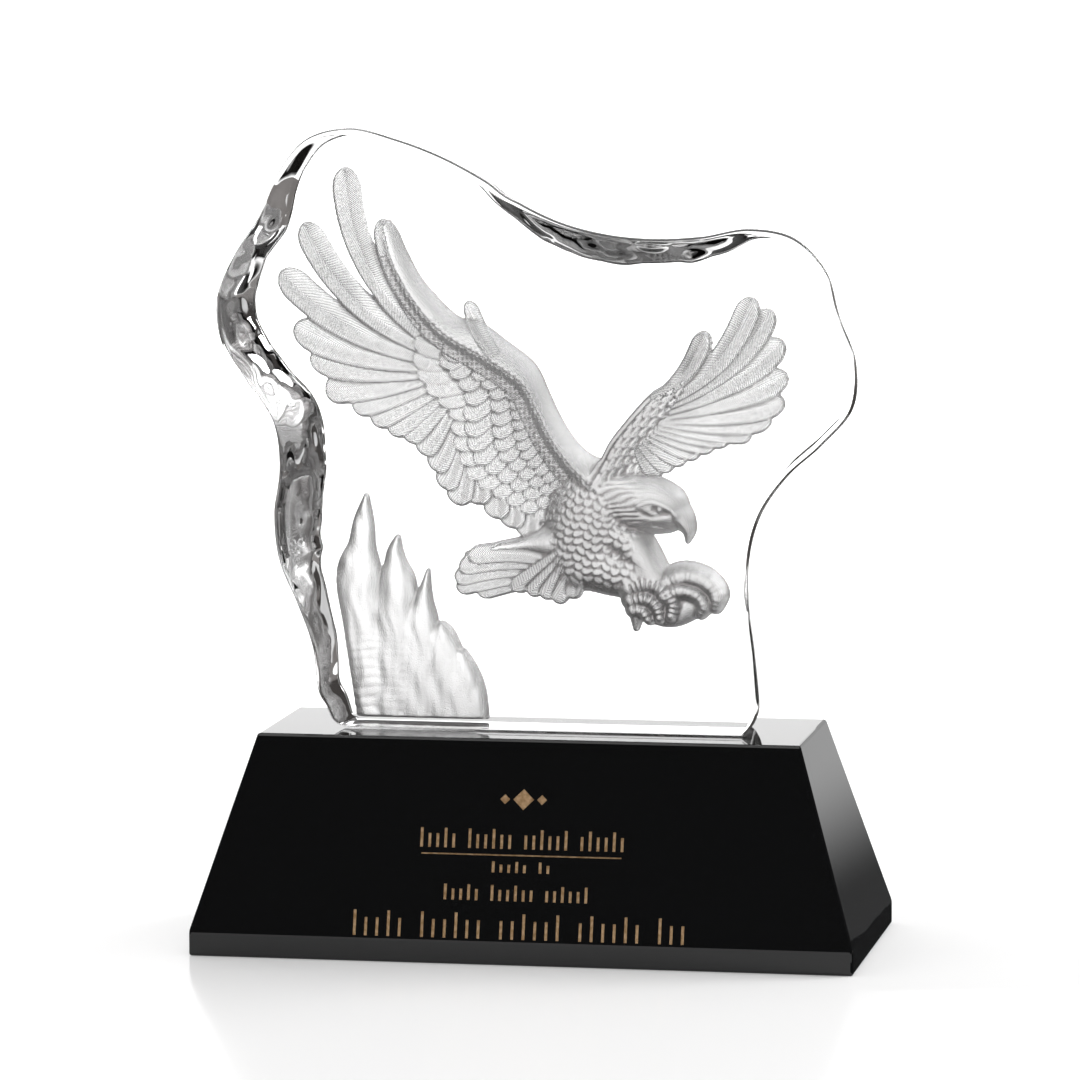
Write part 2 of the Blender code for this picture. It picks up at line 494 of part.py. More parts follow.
def carving_heights():
    """The whole carving on a grid, in drawn millimetres, negative where the back stays plain."""
    cell = CARVING_CELL / SCALE
    c = Carving(np.arange(-75.5, 69.0, cell), np.arange(DRAWN_FOOT - 2, 211.0, cell))
    carve_left_wing(c.part(-75, 26, 103, 210))
    carve_right_wing(c.part(10, 69, 117, 176))
    carve_tail(c.part(-28, 16, 88, 112))
    carve_body(c.part(-4, 43, 88, 134))
    carve_feet(c.part(15, 51, 80, 104))
    carve_ice(c.part(-62, -12, DRAWN_FOOT - 2, 122))
    return c.gx, c.gz, smooth_sides(c.high, cell)


def link(obj, collection):
    """Moves an object to a collection of its own."""
    for home in list(obj.users_collection):
        home.objects.unlink(obj)
    collection.objects.link(obj)


def block_rows():
    """The block's outline from its front face to its back, each row worn in by its own amount."""
    line = curve(OUTLINE, OUTLINE_STEPS * 4)
    share = np.linspace(0, 1, OUTLINE_STEPS)
    line = spaced(line, share)
    ahead = np.gradient(line, axis=0)
    ahead /= np.hypot(*ahead.T)[:, None]
    inward = np.stack([ahead[:, 1], -ahead[:, 0]], 1)
    inward[:, 1] *= ease((line[:, 1] - DRAWN_FOOT) / FOOT_CURL)
    run = runs(line)
    turns = np.linspace(0, math.pi / 2, FRONT_ROWS + 1)
    depths = list(FRONT_ROUNDING * (1 - np.cos(turns)))
    depths += list(np.linspace(FRONT_ROUNDING, BLOCK_THICKNESS, WALL_ROWS + 1)[1:])
    rows = []
    for depth in depths:
        over = max(FRONT_ROUNDING - depth, 0)
        round_in = FRONT_ROUNDING - math.sqrt(FRONT_ROUNDING ** 2 - over ** 2)
        inset = round_in + chips(share, run, depth)
        at = line + inward * (inset / SCALE)[:, None]
        low = DRAWN_FOOT + 0.5 * round_in / SCALE
        at[0, 1] = at[-1, 1] = low
        at[:, 1] = np.maximum(at[:, 1], low)
        rows.append((depth, at))
    return rows


def chips(share, run, depth):
    """How far the edge stands in at a depth: its draft, the chipped stretches and their dents."""
    inset = DRAFT * np.clip(depth / BLOCK_THICKNESS, 0, 1)
    worn = np.interp(share, *np.transpose(CHIP_FORM))
    start = np.where(share < DIP_FROM, CHIP_START, DIP_START)
    back = np.clip((depth - start) / (BLOCK_THICKNESS - start), 0, 1)
    inset = inset + CHIP_INSET * worn * back ** 0.85
    for start, end, count, seed in DENTS:
        pick = np.random.RandomState(seed)
        first, last = np.interp([start, end], share, run)
        for number in range(count):
            centre = first + (number + pick.uniform(0.1, 0.9)) / count * (last - first)
            low = pick.uniform(0.25, 0.95) * BLOCK_THICKNESS
            wide = pick.uniform(0.55, 1.0) * DENT_SIZE
            deep = pick.uniform(0.4, 1.0) * DENT_DEPTH
            away = ((run - centre) * SCALE / wide) ** 2 + ((depth - low) / (1.3 * wide)) ** 2
            inset = inset + deep * np.clip(1 - away, 0, 1) ** 1.5 * np.minimum(1, 2.5 * worn)
    return inset


def make_block(parts, cutters, material):
    """The crystal block with the carving pressed into its back."""
    front = -BLOCK_THICKNESS / 2
    foot = BASE_HEIGHT + SEAT_GAP
    mesh = bmesh.new()
    rings = []
    for depth, at in block_rows():
        ring = []
        for px, pz in at:
            place = (px * SCALE, front + depth, foot + (pz - DRAWN_FOOT) * SCALE)
            ring.append(mesh.verts.new(place))
        rings.append(ring)
    for ring, behind in zip(rings, rings[1:]):
        for i in range(len(ring)):
            j = (i + 1) % len(ring)
            mesh.faces.new((ring[i], behind[i], behind[j], ring[j]))
    mesh.faces.new(rings[0])
    mesh.faces.new(rings[-1][::-1])
    bmesh.ops.recalc_face_normals(mesh, faces=mesh.faces)
    data = bpy.data.meshes.new("crystal_block")
    mesh.to_mesh(data)
    mesh.free()
    data.materials.append(material)
    block = bpy.data.objects.new("crystal_block", data)
    parts.objects.link(block)
    tool = make_carving_tool(cutters)
    cut = block.modifiers.new("carving", "BOOLEAN")
    cut.operation = "DIFFERENCE"
    cut.object = tool
    return block


def make_carving_tool(cutters):
    """The tool that presses the carving: a grid raised to its heights, closed behind the back."""
    gx, gz, high = carving_heights()
    rows, columns = high.shape
    back = BLOCK_THICKNESS / 2
    bpy.ops.mesh.primitive_grid_add(x_subdivisions=columns - 1, y_subdivisions=rows - 1, size=1)
    tool = bpy.context.object
    tool.name = "carving_tool"
    high = high * np.where(high > 0, CARVING_DEPTH / high.max(), SCALE)
    places = np.stack([gx * SCALE, back - high,
                       BASE_HEIGHT + SEAT_GAP + (gz - DRAWN_FOOT) * SCALE], -1)
    tool.data.vertices.foreach_set("co", places.reshape(-1).astype(np.float32))
    mesh = bmesh.new()
    mesh.from_mesh(tool.data)
    rim = [edge for edge in mesh.edges if edge.is_boundary]
    grown = bmesh.ops.extrude_edge_only(mesh, edges=rim)["geom"]
    lip = [v for v in grown if isinstance(v, bmesh.types.BMVert)]
    for vert in lip:
        vert.co.y = back + 2 * TOOL_OVERRUN
    edges = [e for e in grown if isinstance(e, bmesh.types.BMEdge)]
    bmesh.ops.contextual_create(mesh, geom=edges)
    bmesh.ops.recalc_face_normals(mesh, faces=mesh.faces)
    mesh.to_mesh(tool.data)
    mesh.free()
    tool.data.update()
    thin = tool.modifiers.new("thin", "DECIMATE")
    thin.ratio = CARVING_FACES / (2 * rows * columns)
    link(tool, cutters)
    tool.display_type = "WIRE"
    tool.hide_render = True
    return tool


def stroke_places():
    """Centre, width and height of each stroke, rule and ornament on the front, seen flat."""
    top = ROWS_TOP
    for number, (high, wide, count) in enumerate(zip(ROW_HEIGHTS, ROW_WIDTHS, ROW_STROKES)):
        pitch = wide / count
        for i in range(count):
            if i % 7 == 5:
                continue
            tall = high * (1.0 if i % 3 == 0 else 0.72)
            yield ((i + 0.5) * pitch - wide / 2, top - high + tall / 2, STROKE_WIDTH, tall)
        top -= high + ROW_LEADING / 2
        if number == 0:
            yield 0.0, top, wide * 0.96, RULE_HEIGHT
        top -= ROW_LEADING / 2


def make_base(parts, cutters, material):
    """The black base, flared towards its foot, with shallow strokes cut in its front."""
    foot_wide = (FOOT_RIGHT - FOOT_LEFT) * SCALE
    top_x, top_y = foot_wide + 2 * SEAT_MARGIN_SIDE, BLOCK_THICKNESS + 2 * SEAT_MARGIN_FRONT
    low_x, low_y = top_x + 2 * FLARE_SIDE, top_y + 2 * FLARE_FRONT
    bpy.ops.mesh.primitive_cube_add(size=1, location=(0, 0, BAND_HEIGHT / 2))
    base = bpy.context.object
    base.name = "black_base"
    base.data.name = "black_base"
    base.data.materials.append(material)
    mesh = bmesh.new()
    mesh.from_mesh(base.data)
    bmesh.ops.scale(mesh, vec=(low_x, low_y, BAND_HEIGHT), verts=mesh.verts)
    roof = [f for f in mesh.faces if f.normal.z > 0.5]
    grown = bmesh.ops.extrude_face_region(mesh, geom=roof)["geom"]
    verts = [v for v in grown if isinstance(v, bmesh.types.BMVert)]
    bmesh.ops.delete(mesh, geom=roof, context="FACES")
    bmesh.ops.translate(mesh, vec=(0, 0, BASE_HEIGHT - BAND_HEIGHT), verts=verts)
    bmesh.ops.scale(mesh, vec=(top_x / low_x, top_y / low_y, 1), verts=verts)
    bmesh.ops.recalc_face_normals(mesh, faces=mesh.faces)
    mesh.to_mesh(base.data)
    mesh.free()
    edge = base.modifiers.new("arris", "BEVEL")
    edge.width = BASE_BEVEL
    edge.segments = 2
    edge.angle_limit = math.radians(10)
    link(base, parts)
    tool = make_stroke_tool(cutters, low_y)
    cut = base.modifiers.new("strokes", "BOOLEAN")
    cut.operation = "DIFFERENCE"
    cut.object = tool
    return base


def make_stroke_tool(cutters, low_y):
    """Bars that stand through the sloping front face as deep as the strokes are cut."""
    slope = math.atan2(FLARE_FRONT, BASE_HEIGHT - BAND_HEIGHT)
    mesh = bmesh.new()

    def bar(px, up, wide, tall, turn=0.0):
        made = bmesh.ops.create_cube(mesh, size=1)["verts"]
        bmesh.ops.scale(mesh, vec=(wide, 4 * STROKE_DEPTH, tall), verts=made)
        spin = (math.cos(turn), math.sin(turn))
        for v in made:
            fx = v.co.x * spin[0] - v.co.z * spin[1] + px
            fz = v.co.x * spin[1] + v.co.z * spin[0] + up
            deep = v.co.y - STROKE_DEPTH
            v.co.x = fx
            v.co.y = -low_y / 2 + fz * math.sin(slope) + deep * math.cos(slope)
            v.co.z = BAND_HEIGHT + fz * math.cos(slope) - deep * math.sin(slope)

    for px, up, wide, tall in stroke_places():
        bar(px, up, wide, tall)
    up = ROWS_TOP + 0.004 + ORNAMENT_SIZE / 2
    quarter = math.pi / 4
    bar(0, up, ORNAMENT_SIZE * 0.5, ORNAMENT_SIZE * 0.5, quarter)
    for side in (-1, 1):
        bar(side * ORNAMENT_SIZE * 0.62, up, ORNAMENT_SIZE * 0.24, ORNAMENT_SIZE * 0.24, quarter)
    data = bpy.data.meshes.new("stroke_tool")
    mesh.to_mesh(data)
    mesh.free()
    tool = bpy.data.objects.new("stroke_tool", data)
    cutters.objects.link(tool)
    tool.display_type = "WIRE"
    tool.hide_render = True
    return tool


def finish_of(name, colour, roughness, clear):
    """A plain material for a piece."""
    material = bpy.data.materials.new(name)
    material.use_nodes = True
    shader = material.node_tree.nodes["Principled BSDF"]
    shader.inputs["Base Color"].default_value = (*colour, 1)
    shader.inputs["Roughness"].default_value = roughness
    shader.inputs["Metallic"].default_value = 0.0
    shader.inputs["Transmission Weight"].default_value = clear
    shader.inputs["IOR"].default_value = 1.52
    return material


def main():
    """Builds the two pieces of the award."""
    for obj in list(bpy.data.objects):
        bpy.data.objects.remove(obj, do_unlink=True)
    parts = bpy.data.collections.new("crystal_eagle_award")
    cutters = bpy.data.collections.new("cutters")
    for collection in (parts, cutters):
        bpy.context.scene.collection.children.link(collection)
    make_base(parts, cutters, finish_of("black_glass", (0.006, 0.007, 0.008), 0.04, 0.0))
    make_block(parts, cutters, finish_of("clear_crystal", (0.97, 0.98, 0.98), 0.02, 1.0))


main()
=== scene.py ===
"""Looks of the crystal eagle award: clear block, frosted carving, black base, studio."""
import math

import bpy
import numpy as np
from mathutils import Matrix, Vector


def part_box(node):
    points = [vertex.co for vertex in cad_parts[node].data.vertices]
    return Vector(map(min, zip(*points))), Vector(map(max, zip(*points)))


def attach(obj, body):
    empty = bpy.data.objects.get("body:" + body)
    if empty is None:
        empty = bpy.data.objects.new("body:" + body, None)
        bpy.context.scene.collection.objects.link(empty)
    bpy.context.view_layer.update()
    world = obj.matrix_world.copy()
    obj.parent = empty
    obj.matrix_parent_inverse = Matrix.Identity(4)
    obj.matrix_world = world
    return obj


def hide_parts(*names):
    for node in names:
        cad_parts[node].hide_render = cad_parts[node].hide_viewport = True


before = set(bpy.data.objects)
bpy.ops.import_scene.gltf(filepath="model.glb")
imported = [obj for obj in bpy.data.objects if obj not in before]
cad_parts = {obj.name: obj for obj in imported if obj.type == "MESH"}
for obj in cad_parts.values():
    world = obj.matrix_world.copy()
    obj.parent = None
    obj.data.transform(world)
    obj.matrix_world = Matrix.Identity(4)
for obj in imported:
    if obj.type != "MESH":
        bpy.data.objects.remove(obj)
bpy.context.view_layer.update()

# Black base
# A flared block of black glass, sawn and polished, with fine arrises and an upright band
# round its foot. Rows of shallow strokes are cut in its front and filled with gold paint.
base_low, base_top = (Vector(corner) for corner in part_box("black_base"))
block_low, block_top = (Vector(corner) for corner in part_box("crystal_block"))
BAND_HEIGHT = 0.0066
FLARE_SIDE = 0.0160
FLARE_FRONT = 0.01435
BASE_ARRIS = 0.0007
STROKE_DEPTH = 0.0003
STROKE_WIDTH = 0.0008
ROW_HEIGHTS = (0.0052, 0.0030, 0.0042, 0.0068)
ROW_WIDTHS = (0.0560, 0.0168, 0.0420, 0.0910)
ROW_STROKES = (26, 8, 20, 30)
ROW_LEADING = 0.0033
ROWS_TOP = 0.0295
RULE_HEIGHT = 0.0004
ORNAMENT_SIZE = 0.0080
FILL_THICKNESS = 0.00016
WORD_BREAK = (7, 5)         # in each run of so many strokes, the one left out
SHORT_STROKE = 0.72
GLASS_IOR = 1.52
BLACK = (0.0045, 0.005, 0.0055, 1)
GOLDS = ((0.50, 0.30, 0.145, 1), (0.78, 0.53, 0.30, 1))


def deselect():
    """Nothing is left selected or being edited."""
    if bpy.context.object and bpy.context.object.mode != "OBJECT":
        bpy.ops.object.mode_set(mode="OBJECT")
    bpy.ops.object.select_all(action="DESELECT")


def named(name):
    """The object just added, under its own name."""
    obj = bpy.context.object
    obj.name = name
    obj.data.name = name
    return obj


def settle(obj):
    """Moves the object's place into its mesh."""
    deselect()
    obj.select_set(True)
    bpy.context.view_layer.objects.active = obj
    bpy.ops.object.transform_apply(location=True, rotation=True, scale=True)


def apply_modifiers(obj):
    """Applies every modifier in turn."""
    deselect()
    obj.select_set(True)
    bpy.context.view_layer.objects.active = obj
    for modifier in list(obj.modifiers):
        bpy.ops.object.modifier_apply(modifier=modifier.name)


def feed(owner, made, **values):
    """Sets a node's sockets and properties by name; a node or an output is linked instead."""
    for key, value in values.items():
        numbered = key[:2] == "in" and key[2:].isdigit()
        socket = int(key[2:]) if numbered else key.replace("_", " ").title().replace("Ior", "IOR")
        if isinstance(value, bpy.types.Node):
            value = value.outputs[0]
        if isinstance(value, bpy.types.NodeSocket):
            owner.node_tree.links.new(value, made.inputs[socket])
        elif numbered or socket in made.inputs:
            made.inputs[socket].default_value = value
        else:
            setattr(made, key, value)


def node(owner, kind, **values):
    """A new node in a material, light or world."""
    made = owner.node_tree.nodes.new("ShaderNode" + kind)
    feed(owner, made, **values)
    return made


def principled(name, **values):
    """A new material, its shader with plain values, and the object's own coordinates."""
    material = bpy.data.materials.new(name)
    material.use_nodes = True
    shader = material.node_tree.nodes["Principled BSDF"]
    feed(material, shader, **values)
    return material, shader, node(material, "TexCoord").outputs["Object"]


def ramp(made, low, low_colour, high, high_colour):
    """Sets the two ends of a colour ramp."""
    first, last = made.color_ramp.elements
    first.position, first.color = low, low_colour
    last.position, last.color = high, high_colour


def stroke_bars():
    """Centre, width, height and turn of each stroke on the flat of the front."""
    top = ROWS_TOP
    for number, (high, wide, count) in enumerate(zip(ROW_HEIGHTS, ROW_WIDTHS, ROW_STROKES)):
        pitch = wide / count
        for i in range(count):
            if i % WORD_BREAK[0] == WORD_BREAK[1]:
                continue
            tall = high * (1.0 if i % 3 == 0 else SHORT_STROKE)
            yield (i + 0.5) * pitch - wide / 2, top - high + tall / 2, STROKE_WIDTH, tall, 0.0
        top -= high + ROW_LEADING / 2
        if number == 0:
            yield 0.0, top, wide * 0.96, RULE_HEIGHT, 0.0
        top -= ROW_LEADING / 2
    up = ROWS_TOP + 0.004 + ORNAMENT_SIZE / 2
    yield 0.0, up, ORNAMENT_SIZE * 0.5, ORNAMENT_SIZE * 0.5, math.pi / 4
    for side in (-1, 1):
        size = ORNAMENT_SIZE * 0.24
        yield side * ORNAMENT_SIZE * 0.62, up, size, size, math.pi / 4


def bars_on_front(name, low, high):
    """One mesh of all bars, from a depth under the front face to another."""
    slope = math.atan2(FLARE_FRONT, base_top.z - BAND_HEIGHT)
    foot = Matrix.Translation((0, base_low.y, BAND_HEIGHT)) @ Matrix.Rotation(-slope, 4, "X")
    deselect()
    made = []
    for px, up, wide, tall, turn in stroke_bars():
        bpy.ops.mesh.primitive_cube_add(size=1)
        bar = bpy.context.object
        place = Matrix.Translation((px, (low + high) / 2, up)) @ Matrix.Rotation(turn, 4, "Y")
        bar.matrix_world = foot @ place @ Matrix.Diagonal((wide, high - low, tall, 1))
        made.append(bar)
    deselect()
    for bar in made:
        bar.select_set(True)
    bpy.context.view_layer.objects.active = made[0]
    bpy.ops.object.join()
    bars = named(name)
    settle(bars)
    return bars


def make_base():
    """The flared block with its band, arrises and strokes."""
    size = base_top - base_low
    deselect()
    bpy.ops.mesh.primitive_cube_add(size=1, location=(0, 0, BAND_HEIGHT / 2))
    base = named("black_glass_base")
    base.scale = (size.x, size.y, BAND_HEIGHT)
    settle(base)
    bpy.ops.object.mode_set(mode="EDIT")
    bpy.ops.mesh.select_all(action="DESELECT")
    bpy.ops.object.mode_set(mode="OBJECT")
    for polygon in base.data.polygons:
        polygon.select = polygon.normal.z > 0.5
    bpy.ops.object.mode_set(mode="EDIT")
    bpy.ops.mesh.select_mode(type="FACE")
    rise = base_top.z - BAND_HEIGHT
    bpy.ops.mesh.extrude_region_move(TRANSFORM_OT_translate={"value": (0, 0, rise)})
    bpy.ops.transform.resize(value=(1 - 2 * FLARE_SIDE / size.x, 1 - 2 * FLARE_FRONT / size.y, 1))
    bpy.ops.object.mode_set(mode="OBJECT")
    arris = base.modifiers.new("arris", "BEVEL")
    arris.width = BASE_ARRIS
    arris.segments = 3
    arris.angle_limit = math.radians(10)
    apply_modifiers(base)
    tool = bars_on_front("stroke_tool", -2 * STROKE_DEPTH, STROKE_DEPTH)
    cut = base.modifiers.new("strokes", "BOOLEAN")
    cut.object = tool
    cut.operation = "DIFFERENCE"
    apply_modifiers(base)
    bpy.data.objects.remove(tool)
    return base


def black_glass():
    """Opaque black glass: a mirror polish with the faintest waviness and smears."""
    material, shader, where = principled("black_glass", base_color=BLACK, ior=GLASS_IOR)
    smear = node(material, "TexNoise", vector=where, scale=55.0, detail=4.0)
    feed(material, shader, roughness=node(material, "MapRange", value=smear, to_min=0.015,
                                          to_max=0.05))
    return material


def gold_paint():
    """Gold size laid in the strokes: satin, a little uneven in tone."""
    material, shader, where = principled("gold_paint", metallic=0.35, roughness=0.42)
    fleck = node(material, "TexNoise", vector=where, scale=900.0, detail=3.0)
    tone = node(material, "ValToRGB", fac=fleck)
    ramp(tone, 0.35, GOLDS[0], 0.65, GOLDS[1])
    feed(material, shader, base_color=tone)
    return material


base = make_base()
base.data.materials.clear()
base.data.materials.append(black_glass())
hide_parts("black_base")
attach(base, "root")

gold = bars_on_front("stroke_gold", STROKE_DEPTH - FILL_THICKNESS, STROKE_DEPTH - 0.00001)
gold.data.materials.clear()
gold.data.materials.append(gold_paint())
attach(gold, "root")

# Crystal block
# One thick slab of clear crystal, cast with a wavy outline. Its front and its rounded front
# edge are polished, and its back edge is scooped like chipped ice at the left and in the dip.
# The block and its carving are drawn in millimetres, x right and z up, and scaled to the frame.
DRAWN_FOOT = 58.4
DRAWN_HEIGHT = 160.4
SCALE = (block_top.z - block_low.z) / DRAWN_HEIGHT
THICKNESS = block_top.y - block_low.y
FRONT_ROUNDING = 0.0018
BACK_ARRIS = 0.0003
DRAFT = 0.0024
CHIP_INSET = 0.0072
CHIP_START = 0.0030
DIP_START = 0.0110
DIP_FROM = 0.43
DENT_SIZE = 0.0085
DENT_DEPTH = 0.0012
FOOT_CURL = 8.0
OUTLINE_STEPS = 640
FRONT_ROWS = 7
WALL_ROWS = 20
OUTLINE = [
    (-52.4, 58.4), (-55.4, 60.3), (-57.3, 64.1), (-59.5, 68.3), (-60.9, 79.8), (-65.0, 91.4),
    (-69.8, 102.9), (-71.1, 115.3), (-69.5, 127.7), (-71.0, 140.0), (-77.9, 150.4),
    (-84.8, 160.8), (-86.1, 173.1), (-81.3, 184.6), (-74.4, 195.0), (-69.2, 206.4),
    (-61.1, 215.8), (-49.1, 218.8), (-36.9, 216.0), (-25.1, 211.7), (-14.0, 206.0),
    (-3.4, 199.3), (8.0, 194.1), (20.2, 191.1), (32.6, 190.1), (45.1, 190.8), (57.5, 192.9),
    (69.6, 190.6), (78.2, 181.7), (81.8, 169.7), (86.1, 157.9), (85.4, 145.7), (77.5, 136.1),
    (68.2, 127.6), (61.1, 117.4), (57.8, 105.4), (57.7, 92.9), (59.2, 80.4), (60.4, 67.4),
    (59.6, 63.0), (58.0, 60.4), (55.6, 58.4),
]
# The chipped left side and dip: share of the outline's run from the foot, share of the inset
CHIP_FORM = [
    (0.0, 0.0), (0.03, 0.05), (0.06, 0.17), (0.09, 0.51), (0.105, 0.9), (0.18, 1.0),
    (0.2, 0.8), (0.25, 0.72), (0.28, 0.64), (0.3, 0.44), (0.32, 0.5), (0.336, 0.28),
    (0.355, 0.1), (0.395, 0.0), (0.46, 0.0), (0.48, 0.2), (0.5, 0.42), (0.53, 0.83),
    (0.57, 0.83), (0.61, 0.65), (0.63, 0.42), (0.65, 0.17), (0.68, 0.0), (1.0, 0.0),
]
DENTS = ((0.03, 0.37, 24, 3), (0.48, 0.66, 10, 8))   # start and end of a stretch, count, seed


def mix(a, b, share):
    """Value at a share of the way from a to b."""
    return a + (b - a) * share


def ease(value):
    """Smooth step from 0 to 1."""
    value = np.clip(value, 0, 1)
    return value * value * (3 - 2 * value)


def curve(points, count):
    """Evenly counted points on a smooth curve through the given ones."""
    p = np.asarray(points, float)
    p = np.vstack([2 * p[0] - p[1], p, 2 * p[-1] - p[-2]])
    t = np.linspace(0, len(p) - 3, count)
    i = np.minimum(t.astype(int), len(p) - 4)
    f = (t - i)[:, None]
    a, b, c, d = p[i], p[i + 1], p[i + 2], p[i + 3]
    return 0.5 * (2 * b + (c - a) * f + (2 * a - 5 * b + 4 * c - d) * f ** 2
                  + (3 * b - a - 3 * c + d) * f ** 3)


def runs(line):
    """Distance along a line at each of its points."""
    steps = np.hypot(*np.diff(line, axis=0).T)
    return np.concatenate([[0], np.cumsum(steps)])


def spaced(line, shares):
    """Points at shares of the length of a line."""
    run = runs(line)
    run = run / run[-1]
    return np.stack([np.interp(shares, run, line[:, 0]), np.interp(shares, run, line[:, 1])], 1)


def chips(share, run, depth):
    """How far the edge stands in at a depth: its draft, the chipped stretches and their dents."""
    inset = DRAFT * np.clip(depth / THICKNESS, 0, 1)
    worn = np.interp(share, *np.transpose(CHIP_FORM))
    start = np.where(share < DIP_FROM, CHIP_START, DIP_START)
    back = np.clip((depth - start) / (THICKNESS - start), 0, 1)
    inset = inset + CHIP_INSET * worn * back ** 0.85
    for start, end, count, seed in DENTS:
        pick = np.random.RandomState(seed)
        first, last = np.interp([start, end], share, run)
        for number in range(count):
            centre = first + (number + pick.uniform(0.1, 0.9)) / count * (last - first)
            low = pick.uniform(0.25, 0.95) * THICKNESS
            wide = pick.uniform(0.55, 1.0) * DENT_SIZE
            deep = pick.uniform(0.4, 1.0) * DENT_DEPTH
            away = ((run - centre) * SCALE / wide) ** 2 + ((depth - low) / (1.3 * wide)) ** 2
            inset = inset + deep * np.clip(1 - away, 0, 1) ** 1.5 * np.minimum(1, 2.5 * worn)
    return inset


def make_slab():
    """The slab as a closed skin: outline rows from the front face to the back face."""
    share = np.linspace(0, 1, OUTLINE_STEPS)
    line = spaced(curve(OUTLINE, OUTLINE_STEPS * 4), share)
    ahead = np.gradient(line, axis=0)
    ahead /= np.hypot(*ahead.T)[:, None]
    inward = np.stack([ahead[:, 1], -ahead[:, 0]], 1)
    inward[:, 1] *= ease((line[:, 1] - DRAWN_FOOT) / FOOT_CURL)
    run = runs(line)
    turns = np.linspace(0, math.pi / 2, FRONT_ROWS + 1)
    depths = list(FRONT_ROUNDING * (1 - np.cos(turns)))
    depths += list(np.linspace(FRONT_ROUNDING, THICKNESS - BACK_ARRIS, WALL_ROWS + 1)[1:])
    depths.append(THICKNESS)
    places = []
    for depth in depths:
        over = max(FRONT_ROUNDING - depth, 0)
        round_in = FRONT_ROUNDING - math.sqrt(FRONT_ROUNDING ** 2 - over ** 2)
        inset = round_in + chips(share, run, depth) + (BACK_ARRIS if depth == THICKNESS else 0)
        at = line + inward * (inset / SCALE)[:, None]
        low = DRAWN_FOOT + 0.5 * round_in / SCALE
        at[0, 1] = at[-1, 1] = low
        at[:, 1] = np.maximum(at[:, 1], low)
        y = np.full(len(at), block_low.y + depth)
        across = np.clip(at[:, 0] * SCALE, block_low.x, block_top.x)
        places.append(np.stack([across, y, np.minimum(height_of(at[:, 1]), block_top.z)], 1))
    count, rows = OUTLINE_STEPS, len(depths)
    faces = []
    for r in range(rows - 1):
        for i in range(count):
            j = (i + 1) % count
            faces.append((r * count + i, (r + 1) * count + i, (r + 1) * count + j, r * count + j))
    faces.append(tuple(range(count)))
    faces.append(tuple(reversed(range((rows - 1) * count, rows * count))))
    data = bpy.data.meshes.new("crystal_slab")
    data.from_pydata(np.concatenate(places).tolist(), [], faces)
    slab = bpy.data.objects.new("crystal", data)
    bpy.context.scene.collection.objects.link(slab)
    deselect()
    slab.select_set(True)
    bpy.context.view_layer.objects.active = slab
    bpy.ops.object.mode_set(mode="EDIT")
    bpy.ops.mesh.select_all(action="SELECT")
    bpy.ops.mesh.normals_make_consistent(inside=False)
    bpy.ops.object.mode_set(mode="OBJECT")
    return slab


def height_of(drawn):
    """Height above the ground of a drawn height."""
    return block_low.z + (drawn - DRAWN_FOOT) * SCALE


slab = make_slab()

# Carving in the back
# The eagle and the rising ice are hollows moulded into the back and frosted with acid, which
# the clear front shows as a raised relief. Heights are the depth of the hollow.
CARVING_DEPTH = 0.0117
CARVING_CELL = 0.335
CARVING_OVERSAMPLE = 2
EDGE_BLUR = 0.28
TOOL_OVERRUN = 0.8
# Painted shade on the frosting: its strength in creases and on left and lower flanks, the pitch
# of its hatching along the bank, and the grey it darkens to
CREASE_SHADE = 0.75
FLANK_SHADE = 0.75
HATCH_PITCH = 2.6
SHADE_GREY = (0.10, 0.09, 0.09, 1)
BARB_PITCH = 0.62
BARB_SHADE = 0.72        # painted shade on the frosting between two barbs
BARB_SHARE = 0.3        # height of a barb beside that of the grain
CLEAR_FRONT = 0.008     # no hollow comes nearer the front face
# Share of the greatest depth, and how much painted shade the frosting gets there
DEPTH_SHADES = [(0.0, 0.0), (0.35, 0.0), (0.5, 0.38), (0.75, 0.62), (1.0, 0.72)]


def reach(line, x, z):
    """Distance of each place from a line, its run along it, its side, and the line's length."""
    best = np.full(x.shape, 1e9)
    run = np.zeros(x.shape)
    side = np.zeros(x.shape)
    at = 0.0
    for (ax, az), (bx, bz) in zip(line[:-1], line[1:]):
        lx, lz = bx - ax, bz - az
        size = math.hypot(lx, lz)
        f = np.clip(((x - ax) * lx + (z - az) * lz) / size ** 2, 0, 1)
        dx, dz = x - ax - f * lx, z - az - f * lz
        away = dx * dx + dz * dz
        near = away < best
        best = np.where(near, away, best)
        run = np.where(near, at + f * size, run)
        side = np.where(near, lx * dz - lz * dx, side)
        at += size
    return np.sqrt(best), run, np.sign(side), at


def within(outline, x, z):
    """True at the places inside a closed outline."""
    hit = np.zeros(x.shape, bool)
    for (ax, az), (bx, bz) in zip(outline, np.roll(outline, -1, 0)):
        if az != bz:
            hit ^= ((az > z) != (bz > z)) & (x < (bx - ax) * (z - az) / (bz - az) + ax)
    return hit


def round_max(a, b, blend):
    """The higher of two forms, with the crease between them filled."""
    e = np.clip(0.5 + 0.5 * (b - a) / blend, 0, 1)
    return mix(a, b, e) + blend * e * (1 - e)


def limb(x, z, line, half, height, power=0.5):
    """A round-backed form along a line, from half widths and heights at its points."""
    count = 10 * len(line)
    path = curve(line, count)
    sizes = curve(np.stack([half, height], 1), count)
    out = np.full(x.shape, -6.0)
    for (px, pz), (wide, high) in zip(path, sizes):
        q = 1 - ((x - px) ** 2 + (z - pz) ** 2) / wide ** 2
        out = np.maximum(out, np.where(q > 0, high * np.abs(q) ** power, -6 * np.minimum(-q, 1)))
    return out


